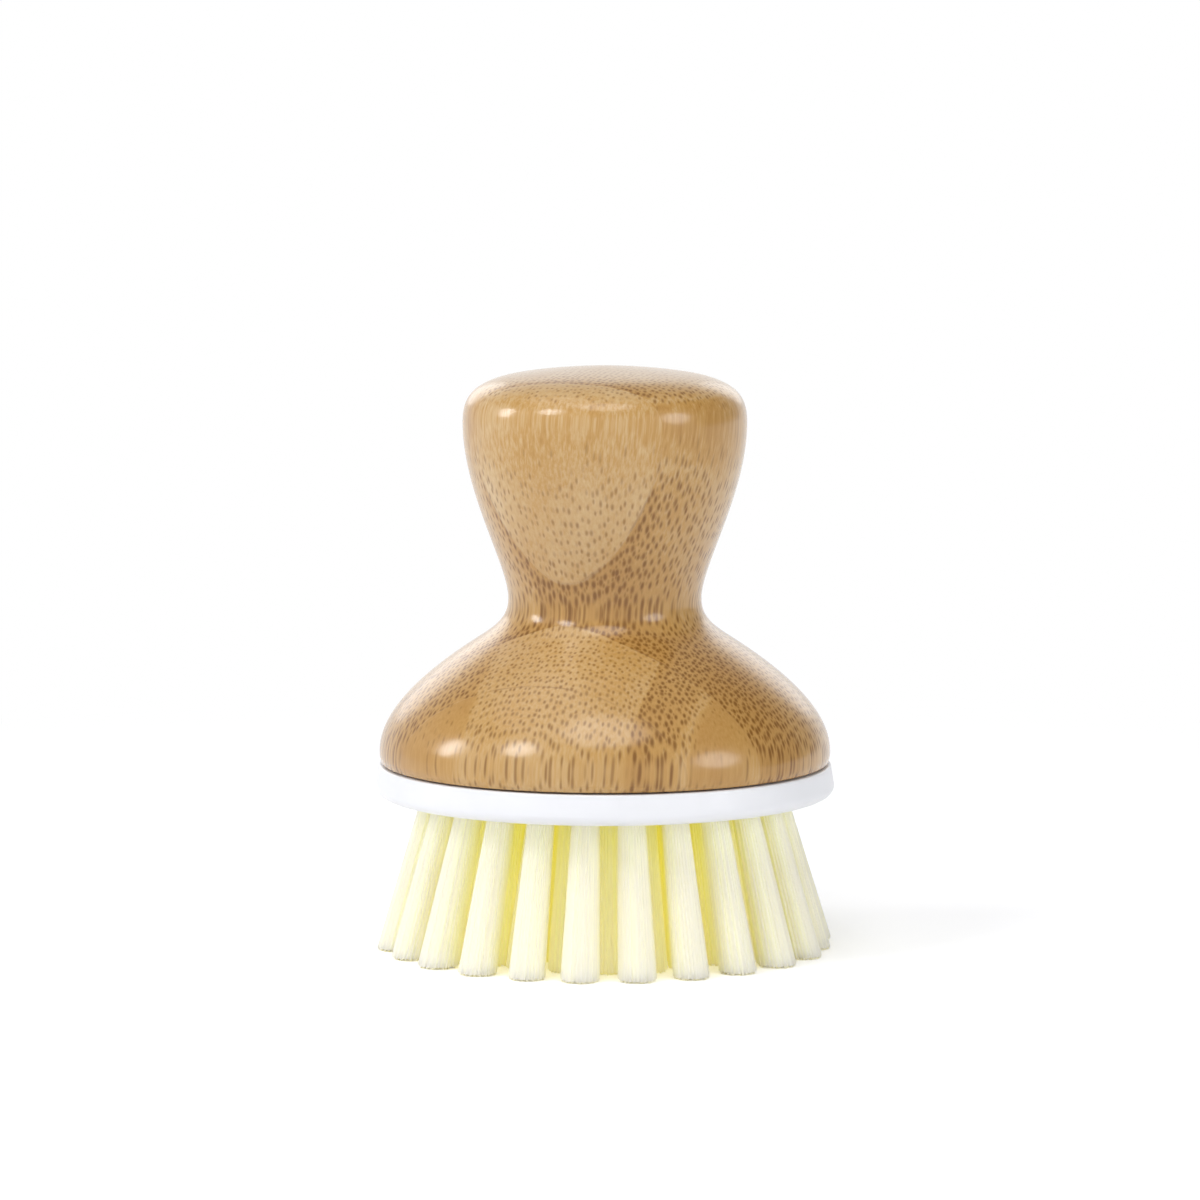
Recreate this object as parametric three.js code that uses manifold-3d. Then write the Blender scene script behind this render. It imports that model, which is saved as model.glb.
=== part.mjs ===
// Palm dish brush with a turned bamboo handle and a screw-off brush head.
// Millimetres, +Z up. The brush stands on its bristle tips at z = 0 and its axis is the Z axis.

import * as THREE from 'three';
import { mergeGeometries, mergeVertices } from 'three/addons/utils/BufferGeometryUtils.js';
import Module from 'manifold-3d';

const wasm = await Module();
wasm.setup();

// Clearances
const fitGap = 0.3; // between two neighbouring pieces
const threadGap = 0.4; // play of the screw thread, along and across the axis
const washerPlay = 1; // between the thread's crest and the washer's hole

// Bristles
const bristleLength = 25.2; // free length below the plate
const trimDepth = 0.5; // taken off every strand by the flat trim
const outerTufts = 24;
const middleTufts = 24;
const innerTufts = 12;
const centreTufts = 6;
const rowStagger = 0.5; // turn of every second row, as a share of the step between its tufts
const strandsAround = 6; // strands around the middle one of each tuft
const strandRadius = 0.6;
const strandSides = 3;
const tuftRootRadius = 1.5; // from the tuft's middle to its outer strands, at the plate
const tuftTipRadius = 2.5; // the same at the tips
const tuftSplay = 6.9; // how much further out the outer row's tips stand than its roots

// Brush plate
const plateRadius = 37.6;
const plateThickness = 5;
const plateDraft = 0.5; // the rim narrows by this much towards its top
const rimRound = 1.6; // rounded lower edge of the rim
const rimBevel = 0.4; // broken upper edge of the rim
const tuftInset = 10.1; // from the plate's edge to the outer row of tufts
const rowSpacing = 6.6; // from one row of tufts to the next
const rowWall = 1.2; // plastic between two rows' backings
const backingThickness = 1.2;
const anchorHoleRadius = 2.3;
const anchorHoleDepth = 2.2;
const anchorHeight = 1.6;
const anchorThickness = 0.5;

// Screw post on the plate
const postRadius = 8.6; // at the root of the thread
const postHeight = 10;
const postWall = 2.2;
const postBevel = 0.6;
const threadPitch = 4;
const threadDepth = 1.2;
const threadRootWidth = 2;
const threadCrestWidth = 1;
const threadMargin = 1; // plain post above and below the thread
const threadRunOut = Math.PI / 6; // angle over which the ridge fades at each end
const threadFadedShare = 0.1; // height of the faded ridge's very end
const threadLeadIn = 1; // turns of the socket's groove below the ridge
const threadLeadOut = 0.12; // turns of the socket's groove past the ridge

// Sealing washer
const washerWidth = 8.8;
const washerThickness = 1.6;

// Threaded socket in the handle
const socketWall = 2;
const socketHeadroom = 0.6; // between the post's top and the socket's end
const socketEnd = 1.2; // thickness of the closed end
const flangeWidth = 3;
const flangeThickness = 1.2;
const barbCount = 3;
const barbDepth = 0.5;

// Turned handle, from its underside to its top
const handleInset = 0.7; // the plate's widest edge stands out past the wood
const blockStrips = 7; // bamboo strips glued into the block that the handle is turned from
const turningAllowance = 1.6; // from the dome's widest point to the side of that block
const edgeHeight = 1.9; // underside to the dome's widest point
const edgeInset = 0.3;
const domeHeight = 18.5; // widest point to the start of the neck's hollow
const domeTopRadius = 20.6;
const hollowHeight = 6.5; // start of the hollow to the narrowest point
const neckRadius = 15.8;
const gripHeight = 28.8; // narrowest point to the knob's widest point
const knobRadius = 23.2;
const shoulderHeight = 7.3; // widest point to the edge of the crown
const crownRadius = 17;
const crownHeight = 1.8;
const hollowSlope = 0.64; // rise over run where the dome meets the hollow
const crownSlope = 0.29; // rise over run where the shoulder meets the crown

// Fullness of the handle's curves, as shares of the height or width that each one spans
const domeSidePull = 0.37;
const domeTopPull = 0.47;
const hollowEdgePull = 0.7;
const hollowNeckPull = 0.43;
const gripNeckPull = 0.19;
const gripKnobPull = 0.4;
const shoulderSidePull = 0.52;
const shoulderTopPull = 0.78;
const crownPull = 0.22;

// Facets
const handleSegments = 48;
const domeSteps = 7;
const hollowSteps = 4;
const gripSteps = 6;
const shoulderSteps = 4;
const crownSteps = 2;
const plateSegments = 48;
const rimRoundSteps = 3;
const rowSegments = 48;
const socketSegments = 32;
const anchorHoleSides = 6;
const weldDistance = 1e-4;

// Heights and radii that follow from the driving dimensions
const plateBottomZ = bristleLength;
const plateTopZ = plateBottomZ + plateThickness;
const backingTopZ = plateBottomZ + backingThickness;
const grooveTopZ = backingTopZ + fitGap;
const anchorTopZ = grooveTopZ + anchorHoleDepth - fitGap;
const handleSeatZ = plateTopZ + fitGap;
const washerTopZ = handleSeatZ + washerThickness;
const socketMouthZ = washerTopZ + fitGap;
const flangeTopZ = socketMouthZ + flangeThickness;
const postTopZ = plateTopZ + postHeight;
const socketCeilingZ = postTopZ + socketHeadroom;
const socketTopZ = socketCeilingZ + socketEnd;

const threadCrestRadius = postRadius + threadDepth;
const socketBoreRadius = postRadius + threadGap;
const socketRadius = threadCrestRadius + threadGap + socketWall;
const flangeRadius = socketRadius + flangeWidth;
const washerHoleRadius = threadCrestRadius + washerPlay;
const washerRadius = washerHoleRadius + washerWidth;
const threadStartZ = plateTopZ + threadMargin + threadRootWidth / 2;
const threadTurns = (postHeight - 2 * threadMargin - threadRootWidth) / threadPitch;

const outerRow = plateRadius - tuftInset;
const middleRow = outerRow - rowSpacing;
const innerRow = middleRow - rowSpacing;
const centreRow = innerRow - rowSpacing;
const grooveHalfWidth = (rowSpacing - rowWall) / 2;
const backingHalfWidth = grooveHalfWidth - fitGap;

const domeRadius = plateRadius - handleInset;
const laminationThickness = 2 * (domeRadius + turningAllowance) / blockStrips;
const domeWidestZ = handleSeatZ + edgeHeight;
const domeTopZ = domeWidestZ + domeHeight;
const neckZ = domeTopZ + hollowHeight;
const knobWidestZ = neckZ + gripHeight;
const crownEdgeZ = knobWidestZ + shoulderHeight;
const handleTopZ = crownEdgeZ + crownHeight;

// Materials
const bamboo = new THREE.MeshStandardMaterial({ color: 0xc08d55, roughness: 0.35, flatShading: true });
const whitePlastic = new THREE.MeshStandardMaterial({ color: 0xf1f0ee, roughness: 0.45, flatShading: true });
const palePlastic = new THREE.MeshStandardMaterial({ color: 0xdedbd2, roughness: 0.55, flatShading: true });
const softRubber = new THREE.MeshStandardMaterial({ color: 0xb9b6ae, roughness: 0.8, flatShading: true });
const paleNylon = new THREE.MeshStandardMaterial({ color: 0xf2e6ae, roughness: 0.5, flatShading: true });
const anchorWire = new THREE.MeshStandardMaterial({
  color: 0xa8a9a6,
  roughness: 0.35,
  metalness: 1,
  flatShading: true,
});

// Solid helpers

// A closed geometry as a solid that can be joined and cut
function solidFrom(geometry) {
  const bare = geometry.clone();
  bare.deleteAttribute('normal');
  bare.deleteAttribute('uv');
  const welded = mergeVertices(bare, weldDistance);
  const corners = welded.index.array;
  const triangles = [];
  for (let i = 0; i < corners.length; i += 3) {
    const [a, b, c] = corners.slice(i, i + 3);
    if (a !== b && b !== c && c !== a) {
      triangles.push(a, b, c);
    }
  }
  return new wasm.Manifold(new wasm.Mesh({
    numProp: 3,
    vertProperties: new Float32Array(welded.attributes.position.array),
    triVerts: new Uint32Array(triangles),
  }));
}

function geometryFrom(solid) {
  const mesh = solid.getMesh();
  const geometry = new THREE.BufferGeometry();
  geometry.setAttribute('position', new THREE.BufferAttribute(mesh.vertProperties, 3));
  geometry.setIndex(new THREE.BufferAttribute(mesh.triVerts, 1));
  geometry.computeVertexNormals();
  return geometry;
}

// A profile of [radius, height] pairs turned about the Z axis
function turned(profile, segments) {
  const points = profile.map(([radius, height]) => new THREE.Vector2(radius, height));
  return new THREE.LatheGeometry(points, segments).rotateX(Math.PI / 2);
}

// A ring of rectangular section, closed on itself
function ring(innerRadius, outerRadius, bottomZ, topZ, segments) {
  return turned([
    [innerRadius, bottomZ],
    [outerRadius, bottomZ],
    [outerRadius, topZ],
    [innerRadius, topZ],
    [innerRadius, bottomZ],
  ], segments);
}

function block(minimum, maximum) {
  const size = maximum.clone().sub(minimum);
  const middle = maximum.clone().add(minimum).multiplyScalar(0.5);
  return new THREE.BoxGeometry(size.x, size.y, size.z).translate(middle.x, middle.y, middle.z);
}

// Points of a curve between two profile points, without its first point
function curvePoints(start, startControl, endControl, end, steps) {
  const corners = [start, startControl, endControl, end].map(([x, y]) => new THREE.Vector2(x, y));
  const points = new THREE.CubicBezierCurve(...corners).getPoints(steps);
  return points.slice(1).map((point) => [point.x, point.y]);
}

function placed(name, geometry, material) {
  const mesh = new THREE.Mesh(geometry, material);
  mesh.name = name;
  return mesh;
}

// A right-hand helical ridge of trapezoid section. Its ends fade to the root where runOut is above zero.
function helicalRidge(shape) {
  const { rootRadius, crestRadius, rootWidth, crestWidth } = shape;
  const { startTurn, endTurn, runOut } = shape;
  const startAngle = startTurn * 2 * Math.PI;
  const endAngle = endTurn * 2 * Math.PI;
  const steps = Math.ceil((endTurn - startTurn) * socketSegments);
  const corners = 4; // of the trapezoid
  const positions = [];
  const indices = [];
  for (let i = 0; i <= steps; i += 1) {
    const angle = startAngle + (endAngle - startAngle) * i / steps;
    const fromEnd = Math.min(angle - startAngle, endAngle - angle);
    const share = runOut > 0 ? THREE.MathUtils.clamp(fromEnd / runOut, threadFadedShare, 1) : 1;
    const crest = rootRadius + (crestRadius - rootRadius) * share;
    const middleZ = threadStartZ + threadPitch * angle / (2 * Math.PI);
    const section = [
      [rootRadius, -rootWidth / 2],
      [crest, -crestWidth / 2],
      [crest, crestWidth / 2],
      [rootRadius, rootWidth / 2],
    ];
    for (const [radius, height] of section) {
      positions.push(radius * Math.cos(angle), radius * Math.sin(angle), middleZ + height);
    }
  }
  for (let i = 0; i < steps; i += 1) {
    for (let side = 0; side < corners; side += 1) {
      const a = i * corners + side;
      const b = i * corners + (side + 1) % corners;
      indices.push(a, a + corners, b, b, a + corners, b + corners);
    }
  }
  const last = steps * corners;
  indices.push(0, 1, 2, 0, 2, 3);
  indices.push(last, last + 2, last + 1, last, last + 3, last + 2);
  const geometry = new THREE.BufferGeometry();
  geometry.setAttribute('position', new THREE.Float32BufferAttribute(positions, 3));
  geometry.setIndex(indices);
  return geometry;
}

// Rows of tufts, the outer one first. The inner rows splay less, in step with their radius.
// The middle row's holes stand so close that one ring of flat wire holds all its tufts.
const rows = [
  { name: 'outer', tufts: outerTufts, radius: outerRow, stagger: 0, wired: false },
  { name: 'middle', tufts: middleTufts, radius: middleRow, stagger: rowStagger, wired: true },
  { name: 'inner', tufts: innerTufts, radius: innerRow, stagger: 0, wired: false },
  { name: 'centre', tufts: centreTufts, radius: centreRow, stagger: rowStagger, wired: false },
];
for (const row of rows) {
  row.splay = tuftSplay * row.radius / outerRow;
  row.angles = Array.from({ length: row.tufts }, (_, i) => (i + row.stagger) * 2 * Math.PI / row.tufts);
}

// Bristles

// One straight strand from inside its backing to past the trim plane
function strand(root, tip) {
  const run = tip.clone().sub(root);
  const along = new THREE.Matrix4().makeBasis(
    new THREE.Vector3(1, 0, 0),
    run,
    new THREE.Vector3(0, 1, 0),
  );
  const middle = root.clone().add(tip).multiplyScalar(0.5);
  return new THREE.CylinderGeometry(strandRadius, strandRadius, 1, strandSides)
    .applyMatrix4(along)
    .translate(middle.x, middle.y, middle.z);
}

// The strands of one tuft, fanned out from the root circle to the tip circle
function tuft(row, angle) {
  const outward = new THREE.Vector3(Math.cos(angle), Math.sin(angle), 0);
  const offsets = [{ share: 0, turn: 0 }];
  for (let i = 0; i < strandsAround; i += 1) {
    offsets.push({ share: 1, turn: angle + i * 2 * Math.PI / strandsAround });
  }
  const rootZ = plateBottomZ + backingThickness / 2;
  const freeShare = (bristleLength + trimDepth) / bristleLength;
  return offsets.map(({ share, turn }) => {
    const aside = new THREE.Vector3(Math.cos(turn), Math.sin(turn), 0).multiplyScalar(share);
    const atPlate = outward.clone().multiplyScalar(row.radius).addScaledVector(aside, tuftRootRadius);
    const atFloor = outward.clone().multiplyScalar(row.radius + row.splay)
      .addScaledVector(aside, tuftTipRadius);
    atPlate.z = plateBottomZ;
    const run = atFloor.clone().sub(atPlate);
    const root = atPlate.clone().addScaledVector(run, (plateBottomZ - rootZ) / bristleLength);
    const tip = atPlate.clone().addScaledVector(run, freeShare);
    return strand(root, tip);
  });
}

// One row's strands with the ring of backing that holds them, trimmed flat at the floor
function bristleRow(row) {
  const strands = solidFrom(mergeGeometries(row.angles.flatMap((angle) => tuft(row, angle))));
  const backing = solidFrom(ring(
    row.radius - backingHalfWidth,
    row.radius + backingHalfWidth,
    plateBottomZ,
    backingTopZ,
    rowSegments,
  ));
  const reach = 2 * plateRadius;
  const belowFloor = solidFrom(block(
    new THREE.Vector3(-reach, -reach, -reach),
    new THREE.Vector3(reach, reach, 0),
  ));
  return geometryFrom(strands.add(backing).subtract(belowFloor));
}

// Brush plate: rim, grooves for the backings, blind anchor holes, wire slot and the threaded post
function brushPlate() {
  const rimTopRadius = plateRadius - plateDraft;
  const rimRoundCentre = [plateRadius - rimRound, plateBottomZ + rimRound];
  const rimPoints = new THREE.EllipseCurve(...rimRoundCentre, rimRound, rimRound, -Math.PI / 2, 0)
    .getPoints(rimRoundSteps)
    .map((point) => [point.x, point.y]);
  let plate = solidFrom(turned([
    [0, plateBottomZ],
    ...rimPoints,
    [rimTopRadius, plateTopZ - rimBevel],
    [rimTopRadius - rimBevel, plateTopZ],
    [0, plateTopZ],
  ], plateSegments));

  const postBoreRadius = postRadius - postWall;
  const postRootZ = plateTopZ - postBevel;
  const post = solidFrom(turned([
    [postBoreRadius, postRootZ],
    [postRadius, postRootZ],
    [postRadius, postTopZ - postBevel],
    [postRadius - postBevel, postTopZ],
    [postBoreRadius, postTopZ],
    [postBoreRadius, postRootZ],
  ], socketSegments));
  const ridge = solidFrom(helicalRidge({
    rootRadius: postRadius - postWall / 2,
    crestRadius: threadCrestRadius,
    rootWidth: threadRootWidth,
    crestWidth: threadCrestWidth,
    startTurn: 0,
    endTurn: threadTurns,
    runOut: threadRunOut,
  }));
  plate = plate.add(post).add(ridge);

  const below = plateBottomZ - fitGap;
  for (const row of rows) {
    const groove = ring(
      row.radius - grooveHalfWidth,
      row.radius + grooveHalfWidth,
      below,
      grooveTopZ,
      rowSegments,
    );
    plate = plate.subtract(solidFrom(groove));
    const holes = row.angles.map((angle) => {
      const depth = anchorHoleDepth + fitGap;
      return new THREE.CylinderGeometry(anchorHoleRadius, anchorHoleRadius, depth, anchorHoleSides)
        .rotateX(Math.PI / 2)
        .rotateZ(Math.PI / anchorHoleSides + angle)
        .translate(
          row.radius * Math.cos(angle),
          row.radius * Math.sin(angle),
          grooveTopZ + anchorHoleDepth - depth / 2,
        );
    });
    plate = plate.subtract(solidFrom(mergeGeometries(holes)));
    if (row.wired) {
      const slot = ring(
        row.radius - anchorThickness / 2 - fitGap,
        row.radius + anchorThickness / 2 + fitGap,
        backingTopZ,
        anchorTopZ + fitGap,
        rowSegments,
      );
      plate = plate.subtract(solidFrom(slot));
    }
  }
  return geometryFrom(plate);
}

// Flat metal anchor that holds a folded tuft in its hole, lying along the row
function tuftAnchor(row, angle) {
  const acrossFlats = 2 * anchorHoleRadius * Math.cos(Math.PI / anchorHoleSides);
  const length = acrossFlats - 2 * fitGap;
  return new THREE.BoxGeometry(anchorThickness, length, anchorHeight)
    .rotateZ(angle)
    .translate(
      row.radius * Math.cos(angle),
      row.radius * Math.sin(angle),
      anchorTopZ - anchorHeight / 2,
    );
}

// What holds a row's tufts: an anchor for each of them, or the ring of flat wire
function rowAnchors(row) {
  if (row.wired) {
    const wire = ring(
      row.radius - anchorThickness / 2,
      row.radius + anchorThickness / 2,
      anchorTopZ - anchorHeight,
      anchorTopZ,
      rowSegments,
    );
    return [placed(`anchor_wire_${row.name}`, wire, anchorWire)];
  }
  return row.angles.map((angle, i) => {
    const number = String(i + 1).padStart(2, '0');
    return placed(`anchor_${row.name}_${number}`, tuftAnchor(row, angle), anchorWire);
  });
}

// Threaded socket: a flanged cup with barbs outside and the thread's groove inside
function handleSocket() {
  const barbHeight = (socketTopZ - flangeTopZ) / barbCount;
  const barbs = [];
  for (let i = 0; i < barbCount; i += 1) {
    const bottomZ = flangeTopZ + i * barbHeight;
    barbs.push([socketRadius, bottomZ], [socketRadius - barbDepth, bottomZ + barbHeight]);
  }
  const cup = solidFrom(turned([
    [socketBoreRadius, socketMouthZ],
    [flangeRadius, socketMouthZ],
    [flangeRadius, flangeTopZ],
    ...barbs,
    [0, socketTopZ],
    [0, socketCeilingZ],
    [socketBoreRadius, socketCeilingZ],
    [socketBoreRadius, socketMouthZ],
  ], socketSegments));
  const groove = solidFrom(helicalRidge({
    rootRadius: postRadius - threadGap,
    crestRadius: threadCrestRadius + threadGap,
    rootWidth: threadRootWidth + 2 * threadGap,
    crestWidth: threadCrestWidth + 2 * threadGap,
    startTurn: -threadLeadIn,
    endTurn: threadTurns + threadLeadOut,
    runOut: 0,
  }));
  return geometryFrom(cup.subtract(groove));
}

// Turned handle: the outline of the whole turning, and the stepped recess in its underside
function handleProfile() {
  const seat = [domeRadius - edgeInset, handleSeatZ];
  const widest = [domeRadius, domeWidestZ];
  const domeTop = [domeTopRadius, domeTopZ];
  const neck = [neckRadius, neckZ];
  const knob = [knobRadius, knobWidestZ];
  const crownEdge = [crownRadius, crownEdgeZ];
  const top = [0, handleTopZ];
  const domeRun = domeTopPull * (domeRadius - domeTopRadius);
  const hollowRun = hollowEdgePull * (domeTopRadius - neckRadius);
  const shoulderRun = shoulderTopPull * (knobRadius - crownRadius);
  const crownRun = crownPull * crownRadius;
  return [
    [0, handleSeatZ],
    seat,
    widest,
    ...curvePoints(
      widest,
      [domeRadius, domeWidestZ + domeSidePull * domeHeight],
      [domeTopRadius + domeRun, domeTopZ - hollowSlope * domeRun],
      domeTop,
      domeSteps,
    ),
    ...curvePoints(
      domeTop,
      [domeTopRadius - hollowRun, domeTopZ + hollowSlope * hollowRun],
      [neckRadius, neckZ - hollowNeckPull * hollowHeight],
      neck,
      hollowSteps,
    ),
    ...curvePoints(
      neck,
      [neckRadius, neckZ + gripNeckPull * gripHeight],
      [knobRadius, knobWidestZ - gripKnobPull * gripHeight],
      knob,
      gripSteps,
    ),
    ...curvePoints(
      knob,
      [knobRadius, knobWidestZ + shoulderSidePull * shoulderHeight],
      [crownRadius + shoulderRun, crownEdgeZ - crownSlope * shoulderRun],
      crownEdge,
      shoulderSteps,
    ),
    ...curvePoints(
      crownEdge,
      [crownRadius - crownRun, crownEdgeZ + crownSlope * crownRun],
      [crownRun, handleTopZ],
      top,
      crownSteps,
    ),
  ];
}

function handleRecessProfile() {
  const washerRecess = washerRadius + fitGap;
  const flangeRecess = flangeRadius + fitGap;
  const bore = socketRadius + fitGap;
  return [
    [0, plateTopZ],
    [washerRecess, plateTopZ],
    [washerRecess, socketMouthZ],
    [flangeRecess, socketMouthZ],
    [flangeRecess, flangeTopZ + fitGap],
    [bore, flangeTopZ + fitGap],
    [bore, socketTopZ + fitGap],
    [0, socketTopZ + fitGap],
  ];
}

// The turning cut along its glue planes. The neck is thinner than the middle three strips,
// so each strip beside them is left as one piece on the knob and one on the dome.
function handleLaminations() {
  const turning = solidFrom(turned(handleProfile(), handleSegments));
  const handle = turning.subtract(solidFrom(turned(handleRecessProfile(), socketSegments)));
  const reach = 2 * plateRadius;
  const innerPlane = laminationThickness / 2;
  const neckPlane = innerPlane + laminationThickness;
  const outerPlane = neckPlane + laminationThickness;
  const strip = (fromY, toY, fromZ, toZ) => geometryFrom(handle.intersect(solidFrom(block(
    new THREE.Vector3(-reach, fromY, fromZ),
    new THREE.Vector3(reach, toY, toZ),
  ))));
  const floorZ = 0;
  const ceilingZ = 2 * handleTopZ;
  return [
    ['lamination_front_outer', strip(-reach, -outerPlane, floorZ, neckZ)],
    ['lamination_front_dome', strip(-outerPlane, -neckPlane, floorZ, neckZ)],
    ['lamination_front_knob', strip(-reach, -neckPlane, neckZ, ceilingZ)],
    ['lamination_front_inner', strip(-neckPlane, -innerPlane, floorZ, ceilingZ)],
    ['lamination_middle', strip(-innerPlane, innerPlane, floorZ, ceilingZ)],
    ['lamination_rear_inner', strip(innerPlane, neckPlane, floorZ, ceilingZ)],
    ['lamination_rear_knob', strip(neckPlane, reach, neckZ, ceilingZ)],
    ['lamination_rear_dome', strip(neckPlane, outerPlane, floorZ, neckZ)],
    ['lamination_rear_outer', strip(outerPlane, reach, floorZ, neckZ)],
  ].map(([name, geometry]) => placed(name, geometry, bamboo));
}

// Assembly
const handle = new THREE.Group();
handle.add(...handleLaminations());
handle.add(placed('handle_socket', handleSocket(), palePlastic));

const sealingWasher = placed(
  'sealing_washer',
  ring(washerHoleRadius, washerRadius, handleSeatZ, washerTopZ, socketSegments),
  softRubber,
);

const brushHead = new THREE.Group();
brushHead.add(placed('brush_plate', brushPlate(), whitePlastic));
for (const row of rows) {
  brushHead.add(placed(`bristles_${row.name}`, bristleRow(row), paleNylon));
  brushHead.add(...rowAnchors(row));
}

const dishBrush = new THREE.Group();
dishBrush.add(brushHead, sealingWasher, handle);

export default dishBrush;
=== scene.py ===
# %% [markdown]
# # A palm dish brush
# The brush stands on its bristles: a turned and lacquered bamboo handle, a white plastic plate and
# splayed tufts of pale nylon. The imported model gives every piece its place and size. This lesson makes
# the surfaces that the eye sees, and never moves what the model has fixed.

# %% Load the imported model
import math

import bmesh
import bpy
import numpy as np
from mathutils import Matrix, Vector


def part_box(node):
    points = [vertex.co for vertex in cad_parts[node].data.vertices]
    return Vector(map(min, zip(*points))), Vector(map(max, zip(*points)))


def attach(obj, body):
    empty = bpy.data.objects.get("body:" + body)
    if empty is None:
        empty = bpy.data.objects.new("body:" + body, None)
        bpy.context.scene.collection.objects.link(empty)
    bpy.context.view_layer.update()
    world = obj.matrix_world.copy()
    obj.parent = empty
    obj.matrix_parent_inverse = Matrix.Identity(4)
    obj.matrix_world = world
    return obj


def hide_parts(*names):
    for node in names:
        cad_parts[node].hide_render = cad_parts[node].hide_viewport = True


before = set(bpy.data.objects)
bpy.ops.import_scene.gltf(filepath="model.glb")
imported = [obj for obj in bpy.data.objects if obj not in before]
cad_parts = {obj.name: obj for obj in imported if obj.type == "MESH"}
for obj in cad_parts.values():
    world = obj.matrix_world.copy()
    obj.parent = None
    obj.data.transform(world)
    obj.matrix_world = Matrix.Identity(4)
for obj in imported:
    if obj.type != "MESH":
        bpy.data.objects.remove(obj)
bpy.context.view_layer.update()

# %% [markdown]
# ## Camera
# A long lens stands a little above the brush and looks at the middle of its height. Its distance and
# height follow from how open the plate's and the tips' ellipses look. The brush is turned so that the
# glue line on the knob faces a little to the left, as on the real one.

# %% Place the camera
MM = 0.001
FRAME_PIXELS = 1200
FOCAL_PIXELS = 5850
AXIS_PIXEL = 604.9
SENSOR_MM = 36
CAMERA_AZIMUTH = math.radians(21.3)
CAMERA_DISTANCE = 950 * MM
CAMERA_HEIGHT = 166 * MM
AIM_HEIGHT = 57 * MM


def around(relative_degrees):
    """A level direction, in degrees to the right of the camera's side of the brush."""
    angle = CAMERA_AZIMUTH + math.radians(relative_degrees)
    return Vector((math.sin(angle), -math.cos(angle), 0))


def raised(relative_degrees, elevation_degrees):
    """A direction to the right of the camera's side, and so many degrees above the level."""
    rise = math.radians(elevation_degrees)
    return around(relative_degrees) * math.cos(rise) + Vector((0, 0, math.sin(rise)))


def linked(name, data):
    """A new object for a mesh, a lamp or a camera, put into the scene."""
    obj = bpy.data.objects.new(name, data)
    bpy.context.collection.objects.link(obj)
    return obj


def aimed(obj, target):
    """Turns a lamp or camera towards a point."""
    obj.rotation_mode = "QUATERNION"
    obj.rotation_quaternion = (target - obj.location).to_track_quat("-Z", "Y")


camera_data = bpy.data.cameras.new("camera")
camera_data.sensor_width = SENSOR_MM
camera_data.lens = FOCAL_PIXELS / FRAME_PIXELS * SENSOR_MM
camera = linked("camera", camera_data)
camera.location = around(0) * CAMERA_DISTANCE + Vector((0, 0, CAMERA_HEIGHT))
aside = (AXIS_PIXEL - FRAME_PIXELS / 2) / FOCAL_PIXELS * CAMERA_DISTANCE
aimed(camera, Vector((0, 0, AIM_HEIGHT)) - around(90) * aside)
bpy.context.scene.camera = camera
bpy.context.scene.view_settings.view_transform = "Standard"
print("lens in mm:", round(camera_data.lens, 1))

# %% [markdown]
# ## Helpers for turned pieces
# The handle, the plate, the washer and the socket are all round about one axis, so each is a profile
# swept round it. A small function does this for any list of radius and height, and closes the poles.
# A screw thread is the same sweep with the radius raised where the helix passes.

# %% Sweep a profile
TINY = 1e-9
SHARP_DEGREES = 40


def curve(start, pull_start, pull_end, end, steps):
    """Points on a cubic curve between two profile points, without the first one."""
    t = np.linspace(0, 1, steps + 1)[1:, None]
    corners = [np.array(p, float) for p in (start, pull_start, pull_end, end)]
    weights = [(1 - t) ** 3, 3 * (1 - t) ** 2 * t, 3 * (1 - t) * t ** 2, t ** 3]
    return [tuple(p) for p in sum(w * c for w, c in zip(weights, corners))]


def arc(centre, radius, from_degrees, to_degrees, steps):
    """Points on a circular arc of a profile."""
    angles = np.radians(np.linspace(from_degrees, to_degrees, steps + 1))
    return [(centre[0] + radius * math.cos(a), centre[1] + radius * math.sin(a)) for a in angles]


def level_run(start, end, step):
    """Points on a straight stretch of a profile, spaced about a step apart, without the first one."""
    count = max(1, round(math.dist(start, end) / step))
    shares = [i / count for i in range(1, count + 1)]
    return [tuple(a + (b - a) * s for a, b in zip(start, end)) for s in shares]


def turned(name, profile, segments, swell=None):
    """A closed mesh swept from (radius, height) pairs in mm. swell adds to the radius at a place."""
    mesh = bpy.data.meshes.new(name)
    shell = bmesh.new()
    angles = [2 * math.pi * i / segments for i in range(segments)]
    rings = []
    closed = math.dist(profile[0], profile[-1]) < TINY
    for index, (radius, z) in enumerate(profile[:-1] if closed else profile):
        if radius < TINY:
            rings.append([shell.verts.new((0, 0, z * MM))] * segments)
            continue
        ring = []
        for a in angles:
            r = radius + (swell(index, a, z) if swell else 0)
            ring.append(shell.verts.new((r * MM * math.cos(a), r * MM * math.sin(a), z * MM)))
        rings.append(ring)
    if closed:
        rings.append(rings[0])
    for low, high in zip(rings, rings[1:]):
        for i in range(segments):
            j = (i + 1) % segments
            corners = list(dict.fromkeys([low[i], low[j], high[j], high[i]]))
            if len(corners) > 2:
                shell.faces.new(corners)
    bmesh.ops.recalc_face_normals(shell, faces=shell.faces)
    shell.to_mesh(mesh)
    shell.free()
    return finished_object(name, mesh)


def smoothed(mesh, sharp_degrees=SHARP_DEGREES):
    """Shades a mesh smooth but for its real edges."""
    mesh.shade_smooth()
    mesh.set_sharp_from_angle(angle=math.radians(sharp_degrees))
    return mesh


def finished_object(name, mesh, sharp_degrees=SHARP_DEGREES):
    """Makes a mesh an object at the origin, smooth but for its real edges."""
    return linked(name, smoothed(mesh, sharp_degrees))


def report(obj):
    print(obj.name, "has", len(obj.data.polygons), "faces")

# %% [markdown]
# ## Helpers for node trees
# Every finish is a tree of shader nodes, and the bristles are a tree of geometry nodes. The same few
# functions add a node, feed it numbers or sockets, and give back its output.

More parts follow.
